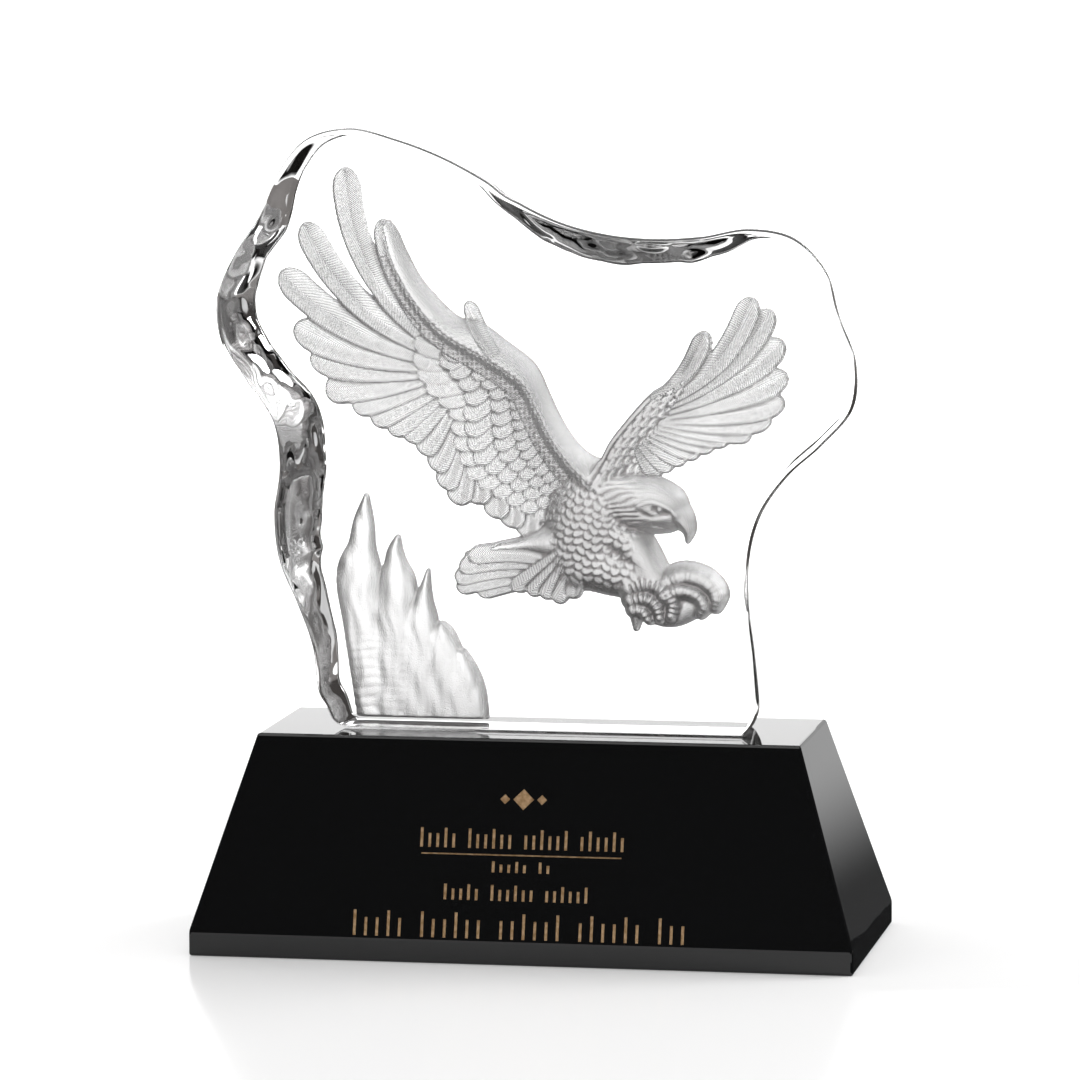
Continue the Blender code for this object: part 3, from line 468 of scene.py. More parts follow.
def scales(a, b, pitch, wide):
    """Overlapping rounded scales: a runs from the head down, b across. Highest at free edges."""
    out = np.zeros(a.shape)
    done = np.zeros(a.shape, bool)
    first = np.floor(a / pitch)
    for step in (-2, -1, 0, 1):
        number = first + step
        across = b / wide + 0.5 * (number % 2)
        v = (across - np.floor(across) - 0.5) * 2
        tip = (number + 0.62) * pitch + 0.75 * pitch * np.sqrt(np.clip(1 - v * v, 0, 1))
        left = (tip - a) / pitch
        high = 1 - np.clip(left / 1.6, 0, 1) - 0.9 * ease(1 - left / 0.16)
        high -= 0.5 * ease((np.abs(v) - 0.75) / 0.25)
        hit = ~done & (a < tip)
        out = np.where(hit, high, out)
        done |= hit
    return out


class Carving:
    """Heights of the carving over a grid of places; nan where the back stays plain."""

    def __init__(self, x, z, high=None, barb=None):
        self.x, self.z = x, z
        self.gx, self.gz = np.meshgrid(x, z)
        self.high = np.full(self.gx.shape, np.nan) if high is None else high
        self.barb = np.zeros(self.gx.shape) if barb is None else barb

    def part(self, left, right, low, top):
        """A smaller stretch of the same carving."""
        i = slice(*np.searchsorted(self.x, [left, right]))
        j = slice(*np.searchsorted(self.z, [low, top]))
        return Carving(self.x[i], self.z[j], self.high[j, i], self.barb[j, i])

    def over(self, line, margin):
        """The part of the grid round a line."""
        low, top = line.min(0) - margin, line.max(0) + margin
        i0, i1 = np.searchsorted(self.x, [low[0], top[0]])
        j0, j1 = np.searchsorted(self.z, [low[1], top[1]])
        return slice(j0, j1), slice(i0, i1)

    def put(self, form, blend):
        """Adds a rounded form, blended into what is there."""
        bare = np.isnan(self.high)
        joined = round_max(np.where(bare, form, self.high), form, blend)
        wins = (form > 0) & (bare | (form > self.high))
        self.high[...] = np.where(form > 0, np.where(bare, form, joined), self.high)
        self.barb[wins] = 0

    def feather(self, bed, root, tip, bend, half, step, blunt=1.5, grow=0.75, quill=0.3,
                lift=0.3, flip=1, fade=0.0):
        """Lays a feather: a bent blade, tucked in at one side and free at the other."""
        root, tip = np.asarray(root, float), np.asarray(tip, float)
        chord = tip - root
        middle = (root + tip) / 2 + 2 * bend * np.array([-chord[1], chord[0]])
        s = np.linspace(0, 1, 18)[:, None]
        line = (1 - s) ** 2 * root + 2 * s * (1 - s) * middle + s ** 2 * tip
        part = self.over(line, half * 1.25)
        x, z = self.gx[part], self.gz[part]
        away, run, side, length = reach(line, x, z)
        first, last = line[1] - line[0], line[-1] - line[-2]
        past_tip = (x - tip[0]) * last[0] + (z - tip[1]) * last[1] > 0
        past_root = (x - root[0]) * first[0] + (z - root[1]) * first[1] < 0
        s = run / length
        head = min(0.85, blunt * half / length)
        body_width = mix(grow, 1, ease(s / (1 - head)))
        head_width = np.sqrt(np.clip(1 - ((s - 1 + head) / head) ** 2, 0, 1))
        width = half * np.where(s < 1 - head, body_width, head_width)
        u = side * flip * away / np.maximum(width, 1e-6)
        vane = step * (0.5 + 0.5 * u) - 0.5 * step * ease((np.abs(u) - 0.72) / 0.28) * (u > 0)
        rib = quill * np.exp(-(away / 0.3) ** 2) * ease((1 - s) * 6)
        form = bed[part] + vane + rib + lift * ease(s)
        form = form * (1 - fade * ease((s - 0.3) / 0.3) * ease((0.35 - u) / 1.25))
        here = (np.abs(u) <= 1) & ~past_tip & ~past_root
        view = self.high[part]
        view[here] = form[here]
        phase = self.barb[part]
        phase[here] = (run + 1.1 * away)[here]

    def row(self, bed, roots, tips, count, half, **shape):
        """A row of small feathers, each lying over the next."""
        shares = (np.arange(count) + 0.5) / count
        pairs = list(zip(spaced(roots, shares), spaced(tips, shares)))
        for root, tip in reversed(pairs):
            self.feather(bed, root, tip, 0.03, half, 0.9, **shape)


def carve_left_wing(c):
    """The wide wing: long flight feathers, five rows of coverts and a steep leading edge."""
    x, z = c.gx, c.gz
    ridge = curve([(-43.4, 191.5), (-40.8, 182.5), (-36.8, 175), (-31.8, 168.3), (-25.5, 162.6),
                   (-17, 158), (-9.2, 153.4), (-4.4, 149.6), (-1.2, 143.5), (2, 137), (6, 131),
                   (11, 125.5), (16, 121)], 70)
    outer = curve([(-41.9, 193.8), (-39.4, 190.6), (-37.3, 185.8), (-33.3, 178.3),
                   (-28.3, 172.5), (-22.9, 167.7), (-16.7, 166.2), (-10, 161.4), (-3.3, 156.4),
                   (-0.6, 152.6), (1.4, 148), (4.6, 141.2), (8.6, 135), (12.4, 131.4),
                   (16, 130), (24, 128)], 70)
    trail = curve([(-52.9, 207.5), (-65.2, 192.3), (-71.5, 179), (-67.5, 165), (-63.8, 156.7),
                   (-59.6, 148.6), (-51, 144), (-43, 137), (-38, 135), (-33.2, 130.6),
                   (-27.5, 120.5), (-24, 117.6), (-18.3, 117.6), (-12, 113.2), (-6, 109.4),
                   (1, 104)], 60)
    to_ridge, run, side, length = reach(ridge, x, z)
    to_outer = reach(outer, x, z)[0]
    to_trail = reach(trail, x, z)[0]
    along = run / length
    crest = np.interp(along, [0, 0.12, 0.3, 0.6, 1], [3.6, 5.6, 7.6, 9.4, 10.5])
    bed = mix(0.66 * crest, 1.6, (to_ridge / (to_ridge + to_trail)) ** 0.7)
    flight = [
        ((-27.5, 163), (-43.6, 193.6), 0.10, 3.1), ((-30, 162), (-53.6, 207.4), 0.13, 4.0),
        ((-31, 160), (-65.0, 192.6), 0.11, 4.0), ((-32, 158), (-71.6, 179.6), 0.09, 4.3),
        ((-32.5, 156), (-68.2, 164.8), 0.06, 4.7), ((-33, 154), (-63.9, 156.6), 0.05, 4.4),
        ((-33, 152), (-59.9, 147.9), 0.04, 4.2), ((-32, 150), (-52.6, 143.6), 0.03, 4.0),
        ((-30, 148.6), (-47.4, 139.6), 0.02, 3.8), ((-28.5, 147), (-42.6, 136.6), 0.02, 3.6),
        ((-27, 145), (-38.2, 134.6), 0.02, 3.5), ((-26, 142), (-33.9, 130.8), 0.02, 3.5),
        ((-24.5, 138), (-30.3, 126.2), 0.03, 3.5), ((-23, 134), (-27.6, 121.3), 0.03, 3.5),
        ((-21.5, 131), (-24.0, 117.0), 0.04, 3.7), ((-18.5, 128), (-18.4, 117.1), 0.04, 3.8),
        ((-14, 125.5), (-13.4, 113.4), 0.06, 3.7), ((-9.5, 122.5), (-9.2, 110.9), 0.06, 3.7),
        ((-4.5, 119.5), (-5.2, 108.4), 0.06, 3.6),
    ]
    for root, tip, bend, half in reversed(flight):
        c.feather(bed, root, tip, bend, half, 1.5, blunt=1.5 if tip[1] > 155 else 0.9,
                  fade=0.95 * ease((tip[1] - 172) / 12))
    coverts = [
        ([(-31.5, 167.5), (-34.6, 161.5), (-35, 156), (-32.3, 149.4), (-28.2, 145.6),
          (-25.3, 141.5), (-24.8, 135.5), (-22.6, 129), (-20, 124.2), (-13, 119.8),
          (-6.5, 116), (0, 112.5)], 7.5, 16, 3.1),
        ([(-26.5, 161.5), (-27.8, 155.2), (-23.6, 150.6), (-21, 145.6), (-21.4, 140.4),
          (-20.6, 134.4), (-18.8, 129), (-12.5, 124.3), (-6.5, 120.3), (0.5, 116)],
         7.5, 14, 2.9),
        ([(-20.5, 156.8), (-18.8, 151.4), (-14.6, 147.6), (-13.8, 141), (-13.3, 135.4),
          (-11.8, 130), (-6.5, 125), (-1, 121), (4, 118)], 7.0, 14, 2.6),
        ([(-14, 152.2), (-10, 147), (-8.2, 141), (-7.6, 135.2), (-5.6, 130), (-1.2, 125.2),
          (3.4, 121.5)], 6.0, 13, 2.1),
        ([(-7.5, 147.2), (-4.4, 141.8), (-2.4, 136.5), (-0.2, 131.5), (3.2, 127), (7, 123)],
         4.2, 13, 1.7),
    ]
    under = within(np.vstack([ridge, curve(coverts[0][0], 40)[::-1]]), x, z)
    c.high[...] = np.where(under & np.isnan(c.high), bed, c.high)
    for tips, length_of_feather, count, half in coverts:
        line = curve(tips, 40)
        ahead = np.gradient(line, axis=0)
        ahead /= np.hypot(*ahead.T)[:, None]
        roots = line + np.stack([-ahead[:, 1], ahead[:, 0]], 1) * length_of_feather
        c.row(bed + 0.25, roots, line, count, half, blunt=1.25, grow=0.85, quill=0.12, lift=0.6)
    fall = np.interp(along, [0, 0.25, 1], [1.2, 2.6, 3.6])
    bank = mix(crest, bed + 0.3, ease(to_ridge / fall))
    bank = bank + 1.2 * (scales(run * 0.7 - to_ridge, run * 0.7 + to_ridge, 1.6, 1.8) - 0.4)
    on_bank = (side < 0) & (to_ridge < fall) & (along > 0.01) & (along < 0.99)
    c.high[...] = np.where(on_bank & ~np.isnan(c.high), np.fmax(c.high, bank), c.high)
    by_ridge = (side < 0) & (to_ridge < 1.6 * fall) & (along > 0.08)
    c.barb[by_ridge] = -(run * 1.2 + to_ridge + 1)[by_ridge]
    wall = within(np.vstack([ridge, outer[::-1]]), x, z)
    rise = np.clip(to_outer / (to_outer + to_ridge), 0, 1)
    wall_high = crest * np.sin(0.5 * np.pi * rise) ** 0.85
    c.high[...] = np.where(wall, np.fmax(c.high, wall_high), c.high)
    c.barb[wall] = 0
    ruff = scales(2.2 - to_ridge * np.sign(side + 0.5), run, 1.7, 2.0) - 0.3
    on_ruff = (along > 0.3) & (along < 0.97) & (to_ridge < 2.2) & ((side > 0) | (to_ridge < 0.8))
    ruffled = c.high + 1.1 * ruff * (1 - ease((to_ridge - 1.4) / 0.8))
    c.high[...] = np.where(on_ruff & ~np.isnan(c.high), ruffled, c.high)
    thumb_bed = np.nan_to_num(c.high) * 0.85 + 0.6
    c.feather(thumb_bed, (-12.5, 157.5), (-20.6, 171.9), 0.05, 2.2, 0.7, blunt=1.6, lift=0.6)


def carve_right_wing(c):
    """The far wing: a scaled arm with its feathers fanned out from the wrist."""
    x, z = c.gx, c.gz
    lead = curve([(12, 124), (15.5, 130), (18.0, 134.8), (20.8, 138.5), (25, 143.5),
                  (29.6, 148.2), (35, 151.2), (39.0, 155), (41.2, 159.4), (43.4, 164.0)], 60)
    trail = curve([(22, 119), (31.2, 126), (35, 128.3), (39.2, 131.2), (45, 134.4), (50, 137),
                   (56, 138.2), (61.7, 141.8), (64.6, 147), (64.8, 153), (63.6, 160),
                   (61.8, 168.5), (55.9, 173.4)], 60)
    to_lead, run, _, length = reach(lead, x, z)
    to_trail = reach(trail, x, z)[0]
    crest = np.interp(run / length, [0, 0.3, 0.7, 1], [10, 8.6, 6.6, 3.6])
    bed = mix(crest, 1.5, (to_lead / (to_lead + to_trail)) ** 1.1)
    fan = curve([(30, 146), (33.5, 144.5), (34, 142.6), (31.5, 140), (26, 134)], 40)
    arm = within(np.vstack([lead, curve([(40, 155), (38.5, 150), (35.5, 145), (33, 140.5),
                                         (30, 135.5), (29, 131), (28, 124), (20, 119)], 30)]),
                 x, z)
    tips = [((43.7, 164.4), 0.10, 2.9), ((56.2, 173.6), 0.12, 3.5), ((61.2, 170.4), 0.10, 3.5),
            ((64.4, 162.2), 0.07, 4.0), ((65.6, 153.2), 0.05, 3.8), ((64.9, 146.2), 0.05, 3.6),
            ((61.4, 141.4), 0.05, 3.4), ((56.2, 137.8), 0.05, 3.2), ((50.4, 136.4), 0.05, 3.2),
            ((46.2, 134.2), 0.05, 3.0), ((42.4, 132.0), 0.05, 2.8), ((38.6, 129.8), 0.05, 2.7),
            ((35.0, 127.6), 0.05, 2.7), ((31.6, 125.6), 0.05, 2.7)]
    roots = spaced(fan, np.linspace(0, 1, len(tips)))
    c.high[...] = np.where(arm, bed, c.high)
    for root, (tip, bend, half) in reversed(list(zip(roots, tips))):
        c.feather(bed, root, tip, -bend, half, 1.3, blunt=1.5 if tip[1] > 140 else 1.0,
                  grow=0.6, flip=-1, fade=0.6 * ease((tip[1] - 160) / 8))
    front = crest * np.sin(0.5 * np.pi * np.clip(to_lead / 2.2, 0, 1)) ** 0.8
    form = mix(front, bed, ease((to_lead - 2.0) / 6.0)) + 0.4
    small = scales(60 - run * 0.55 - to_lead * 0.9, to_lead - run * 0.35, 2.3, 2.3) - 0.4
    form = form + 1.1 * small * ease((to_lead - 0.8) / 1.2)
    c.barb[arm & (form > np.nan_to_num(c.high))] = 0
    c.high[...] = np.where(arm, np.fmax(c.high, form), c.high)


def carve_tail(c):
    """The tail: five long feathers and a fan of shorter ones below the body."""
    x, z = c.gx, c.gz
    bed = np.interp(x, [-26, -12, 2, 12], [2.0, 3.4, 6.0, 8.0])
    long_tips = [(-20.6, 103.2), (-23.4, 100.2), (-24.7, 97.2), (-24.2, 94.4), (-18.5, 93.4)]
    for place, tip in reversed(list(enumerate(long_tips))):
        root = (1.0 + 0.2 * place, 103.2 - 1.2 * place)
        c.feather(bed, root, tip, 0.01 * place - 0.06, 2.6, 1.2, blunt=1.3, grow=0.9)
    c.put(limb(x, z, [(-21, 103.6), (-13, 105.6), (-5, 106.8), (2, 107.5)],
               [1.0, 1.6, 2.4, 5.0], [2.8, 4.0, 5.6, 7.5]), 0.6)
    bed = np.interp(z, [90, 97, 104], [2.4, 5.2, 7.6])
    fan_tips = [(-8.5, 94.4), (-4.4, 93.2), (-0.6, 92.2), (3.2, 90.9), (7.4, 92.2)]
    for place, tip in enumerate(fan_tips):
        c.feather(bed, (6 + place, 105 - 0.5 * place), tip, 0.0, 2.35, 1.1, blunt=1.0, grow=0.8)


def carve_body(c):
    """The scaled body with its thighs, the streaked neck, and the head with its hooked beak."""
    x, z = c.gx, c.gz
    torso = limb(x, z, [(14, 120.5), (13, 116), (11.5, 110), (10.5, 103)],
                 [9.6, 12.0, 11.5, 8.5], [10.6, 11.6, 11.0, 8.8])
    thigh = limb(x, z, [(10, 104), (17, 101.5), (24, 99.5), (29, 97)],
                 [8.5, 8.0, 7.2, 6.0], [8.6, 9.4, 9.4, 8.6])
    haunch = limb(x, z, [(20, 110), (24, 107), (27, 103), (30, 98)],
                  [6.0, 6.0, 5.5, 5.0], [9.8, 10.2, 10.0, 9.2])
    form = round_max(round_max(torso, thigh, 1.6), haunch, 1.4)
    spine = curve([(28, 132), (17, 127), (12, 118), (9, 108), (6, 98), (4, 92)], 40)
    away, run, side, _ = reach(spine, x, z)
    smooth_thigh = ease((x - 23) / 4) * ease((112 - z) / 3)
    scaled = ease((form - 3) / 2) * (1 - smooth_thigh)
    across = away * side
    plumes = scales(run + 0.4 * np.sin(across * 0.9), across + 0.6 * np.sin(run * 0.8), 2.2, 2.7)
    c.put(form + 1.0 * (plumes - 0.45) * scaled, 2.4)
    skull = limb(x, z, [(17, 121), (23, 118.6), (29, 117.9), (32.4, 117.2)],
                 [8.0, 8.3, 7.9, 7.0], [10.4, 11.0, 11.2, 10.6])
    beak = limb(x, z, [(33.5, 116.5), (37.0, 114.8), (39.1, 111.6), (38.8, 108.2)],
                [5.6, 3.7, 2.1, 0.7], [9.8, 8.8, 7.0, 4.0], power=0.6)
    head = round_max(skull, beak, 1.2)
    away, run, side, length = reach(curve([(12, 112), (18, 115), (24, 116.6), (30, 117.2),
                                           (37, 115)], 40), x, z)
    across = away * side
    hair = np.abs(np.sin(across * 2 + 0.9 * np.sin(run * 0.55 + across * 0.8))) ** 0.8
    behind_eye = ease((length - 8.5 - run) / 4) * ease((head - 2.5) / 2)
    c.put(head + 0.6 * (hair - 0.5) * behind_eye, 0.7)
    lines = [
        ([(27.5, 116.2), (30, 115.4), (32.4, 115.6), (34.6, 116.2)], 0.7, -0.5),
        ([(26.5, 118.4), (29.5, 119.4), (33.2, 118.4), (36.6, 115.8)], 0.8, 0.7),
        ([(30.6, 117.2), (33.8, 116.4)], 0.8, -0.75),
        ([(30.2, 113.0), (33.4, 112.2), (36.2, 110.8), (38.0, 109.2)], 0.45, -0.8),
        ([(35.8, 113.6), (36.8, 113.0)], 0.35, -0.5),
        ([(35.2, 116.8), (35.4, 113.8), (34.8, 112.2)], 0.35, -0.3),
    ]
    for points, wide, deep in lines:
        away = reach(curve(points, 20), x, z)[0]
        c.high[...] = c.high + deep * np.exp(-(away / wide) ** 2)
    eye = np.hypot(x - 32.1, z - 117.0)
    c.high[...] = c.high + 0.85 * np.exp(-(eye / 0.65) ** 4)


def carve_feet(c):
    """The clenched feet: ringed toes curled round, with one hind claw hanging."""
    x, z = c.gx, c.gz
    c.put(limb(x, z, [(28, 93), (34, 91), (41, 93)], [6.0, 6.0, 5.0], [6.2, 5.6, 6.0]), 0.5)
    toes = [
        ([(33, 97), (38, 99.2), (43.5, 98), (46.8, 94.6), (46.4, 91)], [4.0, 3.8, 3.6, 3.2, 2.2],
         [8.6, 9.2, 9.0, 8.2, 6.8], 0.10),
        ([(33, 94), (37.5, 95.4), (41.6, 94.4), (43.6, 91.6), (42.4, 89)],
         [3.4, 3.2, 3.0, 2.6, 1.8], [9.4, 9.8, 9.4, 8.4, 7.0], 0.16),
        ([(23.5, 96), (28, 97.2), (32.4, 95.6), (35.2, 92), (34.6, 88.4)],
         [4.0, 3.8, 3.4, 2.9, 2.0], [9.0, 9.8, 9.8, 9.0, 7.4], 0.45),
        ([(24, 92.6), (27.8, 93.2), (30.8, 91.2), (31.6, 88.0)], [3.4, 3.2, 2.8, 2.0],
         [8.8, 9.4, 9.0, 7.6], 0.45),
        ([(24.5, 90), (27, 89.8), (28.6, 87.2)], [2.8, 2.6, 1.8], [8.4, 8.6, 7.2], 0.3),
    ]
    for points, half, high, ringed in toes:
        run = reach(curve(points, 30), x, z)[1]
        form = limb(x, z, points, half, high)
        rings = ringed * np.cos(2 * np.pi * run / 1.35) + 0.2 * np.cos(2 * np.pi * run / 4.6 + 1)
        rings = rings * ease((form - 2) / 2)
        c.put(form + rings, 0.5)
    c.put(limb(x, z, [(25.5, 92), (25.0, 88.5), (24.8, 84.6)], [3.0, 2.1, 0.9],
               [7.8, 6.6, 4.4]), 0.5)


def carve_ice(c):
    """Rising ice: flame-like spires that join below and fade out towards the left."""
    x, z = c.gx, c.gz
    spires = [
        ([(-48.8, 119.0), (-49.6, 112), (-50.2, 105), (-51.0, 97), (-50.0, 84), (-47, 56)],
         [0.8, 2.9, 4.0, 6.4, 5.6, 4.5], [2.8, 3.6, 4.2, 4.8, 5.0, 5.0]),
        ([(-40.2, 108.0), (-41.0, 104), (-40.8, 100), (-40.5, 94), (-41, 80), (-42, 56)],
         [0.8, 2.3, 3.5, 5.6, 6.6, 6.6], [3.0, 3.8, 4.4, 5.2, 5.6, 5.8]),
        ([(-31.9, 99.2), (-32.6, 95), (-33.4, 90), (-34.0, 84), (-34.5, 70), (-35, 56)],
         [0.6, 1.5, 3.0, 5.0, 6.2, 6.4], [2.6, 3.8, 4.8, 5.4, 6.0, 6.2]),
        ([(-28.2, 84.4), (-28.0, 80), (-27.0, 70), (-26, 56)],
         [1.2, 4.2, 6.6, 7.2], [4.0, 5.4, 6.2, 6.6]),
        ([(-22.6, 76.8), (-21.6, 72), (-21.2, 66), (-21.0, 56)],
         [1.4, 3.2, 5.0, 5.8], [4.0, 5.2, 6.0, 6.2]),
    ]
    form = np.full(x.shape, -6.0)
    for line, half, high in spires:
        form = round_max(form, limb(x, z, line, half, high, power=0.45), 1.6)
    flow = x + 0.9 * np.sin(z * 0.21 + 1.0) + 0.5 * np.sin(z * 0.47 + x * 0.2)
    ribs = 0.2 * np.sin(flow * 0.75) + 0.08 * np.sin(flow * 1.9 + z * 0.12)
    ribs += 0.12 * np.sin(x * 0.9 + z * 0.55)
    form = form + ribs * ease((form - 1.5) / 2)
    form = np.where(form > 0, form * mix(0.3, 1, ease((x + 60) / 7)), form)
    c.put(np.where(z > DRAWN_FOOT + 0.8, form, -9), 0.3)


def blur(field, reach_in_cells):
    """Softens a field by a bell-shaped brush."""
    taps = np.arange(-int(3 * reach_in_cells), int(3 * reach_in_cells) + 1)
    weights = np.exp(-0.5 * (taps / reach_in_cells) ** 2)
    weights /= weights.sum()
    for axis in (0, 1):
        field = sum(w * np.roll(field, t, axis) for t, w in zip(taps, weights))
    return field


def smooth_sides(high, cell):
    """Signed heights: the hollow's sides slope cleanly down to 0 along a smooth silhouette."""
    solid = ~np.isnan(high)
    grown = np.where(solid, high, 0.0)
    weight = solid.astype(float)
    for _ in range(6):
        total = np.zeros(high.shape)
        count = np.zeros(high.shape)
        for shift, axis in ((1, 0), (-1, 0), (1, 1), (-1, 1)):
            total += np.roll(grown * weight, shift, axis)
            count += np.roll(weight, shift, axis)
        fill = (weight == 0) & (count > 0)
        grown[fill] = total[fill] / count[fill]
        weight[fill] = 1
    cover = blur(solid.astype(float), EDGE_BLUR / cell)
    side = np.clip((cover - 0.5) / 0.45, 0, 1) ** 0.7
    return np.where(cover > 0.5, np.maximum(grown, 0.12) * side, (cover - 0.5) * 2 * TOOL_OVERRUN)


def painted_frost_shade(high, cell, barb, x, z):
    """Painted shade on the frosting: more when deep, in creases, on left and lower flanks, less
    on flanks facing up and right, and hatched along the bank.
    """
    form = blur(np.maximum(high, 0), 0.2 / cell)
    # Painted shade in creases and on flanks that face left and down
    crease = np.clip((blur(form, 0.55 / cell) - form - 0.03) / 0.12, 0, 1)
    down, left = np.gradient(form, cell)
    slope = 0.7 * left + 0.9 * down
    flank = np.clip((slope - 0.22) / 1.1, 0, 1)
    # Painted shade that grows with the depth of the hollow, lifted as painted light on flanks
    # facing up and right
    deep = np.interp(form / form.max(), *np.transpose(DEPTH_SHADES))
    deep = deep * (1 - 0.5 * np.clip((-slope - 0.25) / 0.6, 0, 1))
    # Painted shade with a hatched pattern along the bank by the wing's ridge
    across, upward = np.sin(2 * np.pi * x / HATCH_PITCH), np.sin(2 * np.pi * z / HATCH_PITCH)
    hatch = np.abs(across[None] * upward[:, None])
    bank = blur((barb < 0).astype(float), 0.5 / cell)
    tone = np.clip(CREASE_SHADE * crease + FLANK_SHADE * flank + deep, 0, 1)
    return mix(tone, np.clip(0.6 + 0.2 * tone + 0.8 * (hatch - 0.4), 0, 1), bank)


def carve():
    """The whole carving, drawn finely and brought to the cell of the mesh."""
    fine = CARVING_CELL / CARVING_OVERSAMPLE
    columns = 2 * int((69.0 + 75.5) / CARVING_CELL / 2) * CARVING_OVERSAMPLE
    rows = 2 * int((211.0 - 56.4) / CARVING_CELL / 2) * CARVING_OVERSAMPLE
    whole = Carving(-75.5 + fine * np.arange(columns), 56.4 + fine * np.arange(rows))
    carve_left_wing(whole.part(-75, 26, 103, 210))
    carve_right_wing(whole.part(10, 69, 117, 176))
    carve_tail(whole.part(-28, 16, 88, 112))
    carve_body(whole.part(-4, 43, 88, 134))
    carve_feet(whole.part(15, 51, 80, 104))
    carve_ice(whole.part(-62, -12, 56.4, 122))
    high = smooth_sides(whole.high, fine)
    n = CARVING_OVERSAMPLE
    shape = (rows // n, n, columns // n, n)
    high = high.reshape(shape).mean((1, 3))
    barb = whole.barb[::n, ::n]
    x = whole.x.reshape(-1, n).mean(1)
    z = whole.z.reshape(-1, n).mean(1)
    return x, z, high, barb, painted_frost_shade(high, CARVING_CELL, barb, x, z)


def press_carving(slab, x, z, high):
    """Cuts the hollows from the slab with a grid raised to their heights."""
    gx, gz = np.meshgrid(x, z)
    deep = high * np.where(high > 0, CARVING_DEPTH / high.max(), 0.001)
    places = np.stack([gx * SCALE, block_top.y - deep, height_of(gz)], -1)
    deselect()
    bpy.ops.mesh.primitive_grid_add(x_subdivisions=len(x) - 1, y_subdivisions=len(z) - 1, size=1)
    tool = named("carving_tool")
    tool.data.vertices.foreach_set("co", places.reshape(-1))
    bpy.ops.object.mode_set(mode="EDIT")
    bpy.ops.mesh.select_all(action="DESELECT")
    bpy.ops.mesh.select_mode(type="EDGE")
    bpy.ops.mesh.select_non_manifold()
    bpy.ops.mesh.extrude_region_move(TRANSFORM_OT_translate={"value": (0, 0.004, 0)})
    bpy.ops.mesh.edge_face_add()
    bpy.ops.mesh.select_all(action="SELECT")
    bpy.ops.mesh.normals_make_consistent(inside=False)
    bpy.ops.object.mode_set(mode="OBJECT")
    cut = slab.modifiers.new("carving", "BOOLEAN")
    cut.object = tool
    cut.operation = "DIFFERENCE"
    cut.solver = "MANIFOLD"
    apply_modifiers(slab)
    bpy.data.objects.remove(tool)


def read(items, name):
    """The vectors that a mesh keeps for each of its items."""
    flat = np.empty(len(items) * 3)
    items.foreach_get(name, flat)
    return flat.reshape(-1, 3)


def cells(places, x, z):
    """Row and column of the carving's grid nearest to each place."""
    drawn = (places[:, 0] / SCALE, (places[:, 2] - block_low.z) / SCALE + DRAWN_FOOT)
    column, row = (np.clip(np.rint((at - axis[0]) / (axis[1] - axis[0])).astype(int), 0,
                           len(axis) - 1) for at, axis in zip(drawn, (x, z)))
    return row, column


def dress_crystal(crystal, x, z, high, barb, tone):
    """Sorts faces into clear and frosted, and stores the run of the barbs and the painted shade
    on the vertices.
    """
    data = crystal.data
    at = cells(read(data.vertices, "co"), x, z)
    for name, field in (("barb", barb), ("painted_shade", tone)):
        data.attributes.new(name, "FLOAT", "POINT").data.foreach_set("value", field[at])
    centre, normal = read(data.polygons, "center"), read(data.polygons, "normal")
    hollow = high[cells(centre, x, z)] > -0.7 * TOOL_OVERRUN
    hollow &= (centre[:, 1] < block_top.y - 2e-6) & (centre[:, 1] > block_low.y + CLEAR_FRONT)
    flat = np.abs(normal[:, 1]) > 0.99999
    data.polygons.foreach_set("material_index", hollow.astype(np.int32))
    data.polygons.foreach_set("use_smooth", hollow | ~flat)
    data.update()


def clear_crystal():
    """Polished clear crystal, with the faintest ripple of a hand polish."""
    material, shader, where = principled("clear_crystal", base_color=(1, 1, 1, 1), roughness=0.0,
                                         ior=GLASS_IOR, transmission_weight=1.0)
    streak = node(material, "TexNoise", vector=where, scale=24.0, detail=1.0)
    feed(material, shader, normal=node(material, "Bump", height=streak, distance=0.00002,
                                       strength=0.25))
    return material


def frosted_crystal():
    """Acid-frosted hollow: a satin skin with the barbs of the feathers bitten into it, its white
    colour darkened by painted shade.
    """
    material, shader, where = principled("frosted_crystal", roughness=0.46, ior=GLASS_IOR,
                                         transmission_weight=0.93)
    painted_shade, run = (node(material, "Attribute", attribute_name=key).outputs["Fac"]
                 for key in ("painted_shade", "barb"))
    # Painted shade: white darkened towards a grey where the carving's painted shade is strong
    worn = node(material, "Mix", data_type="RGBA", in0=painted_shade, in6=(1, 1, 1, 1), in7=SHADE_GREY)
    wave = node(material, "Math", operation="MULTIPLY", in0=run, in1=2 * math.pi / BARB_PITCH)
    sine = node(material, "Math", operation="SINE", in0=wave)
    # Painted shade between the barbs: the colour is darker where the sine is low
    lines = node(material, "MapRange", value=sine, from_min=-1.0, to_min=BARB_SHADE)
    shaded_colour = node(material, "Mix", data_type="RGBA", blend_type="MULTIPLY", in0=1.0,
                  in6=worn.outputs[2], in7=lines)
    grain = node(material, "TexNoise", vector=where, scale=3200.0, detail=2.0)
    share = node(material, "Math", operation="MULTIPLY", in0=sine, in1=BARB_SHARE)
    total = node(material, "Math", operation="ADD", in0=share, in1=grain)
    bump = node(material, "Bump", height=total, distance=0.00028, strength=0.8)
    feed(material, shader, base_color=shaded_colour.outputs[2], normal=bump)
    return material


x, z, high, barb, tone = carve()
press_carving(slab, x, z, high)
crystal = slab
crystal.data.materials.clear()
crystal.data.materials.append(clear_crystal())
crystal.data.materials.append(frosted_crystal())
dress_crystal(crystal, x, z, high, barb, tone)
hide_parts("crystal_block")
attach(crystal, "root")
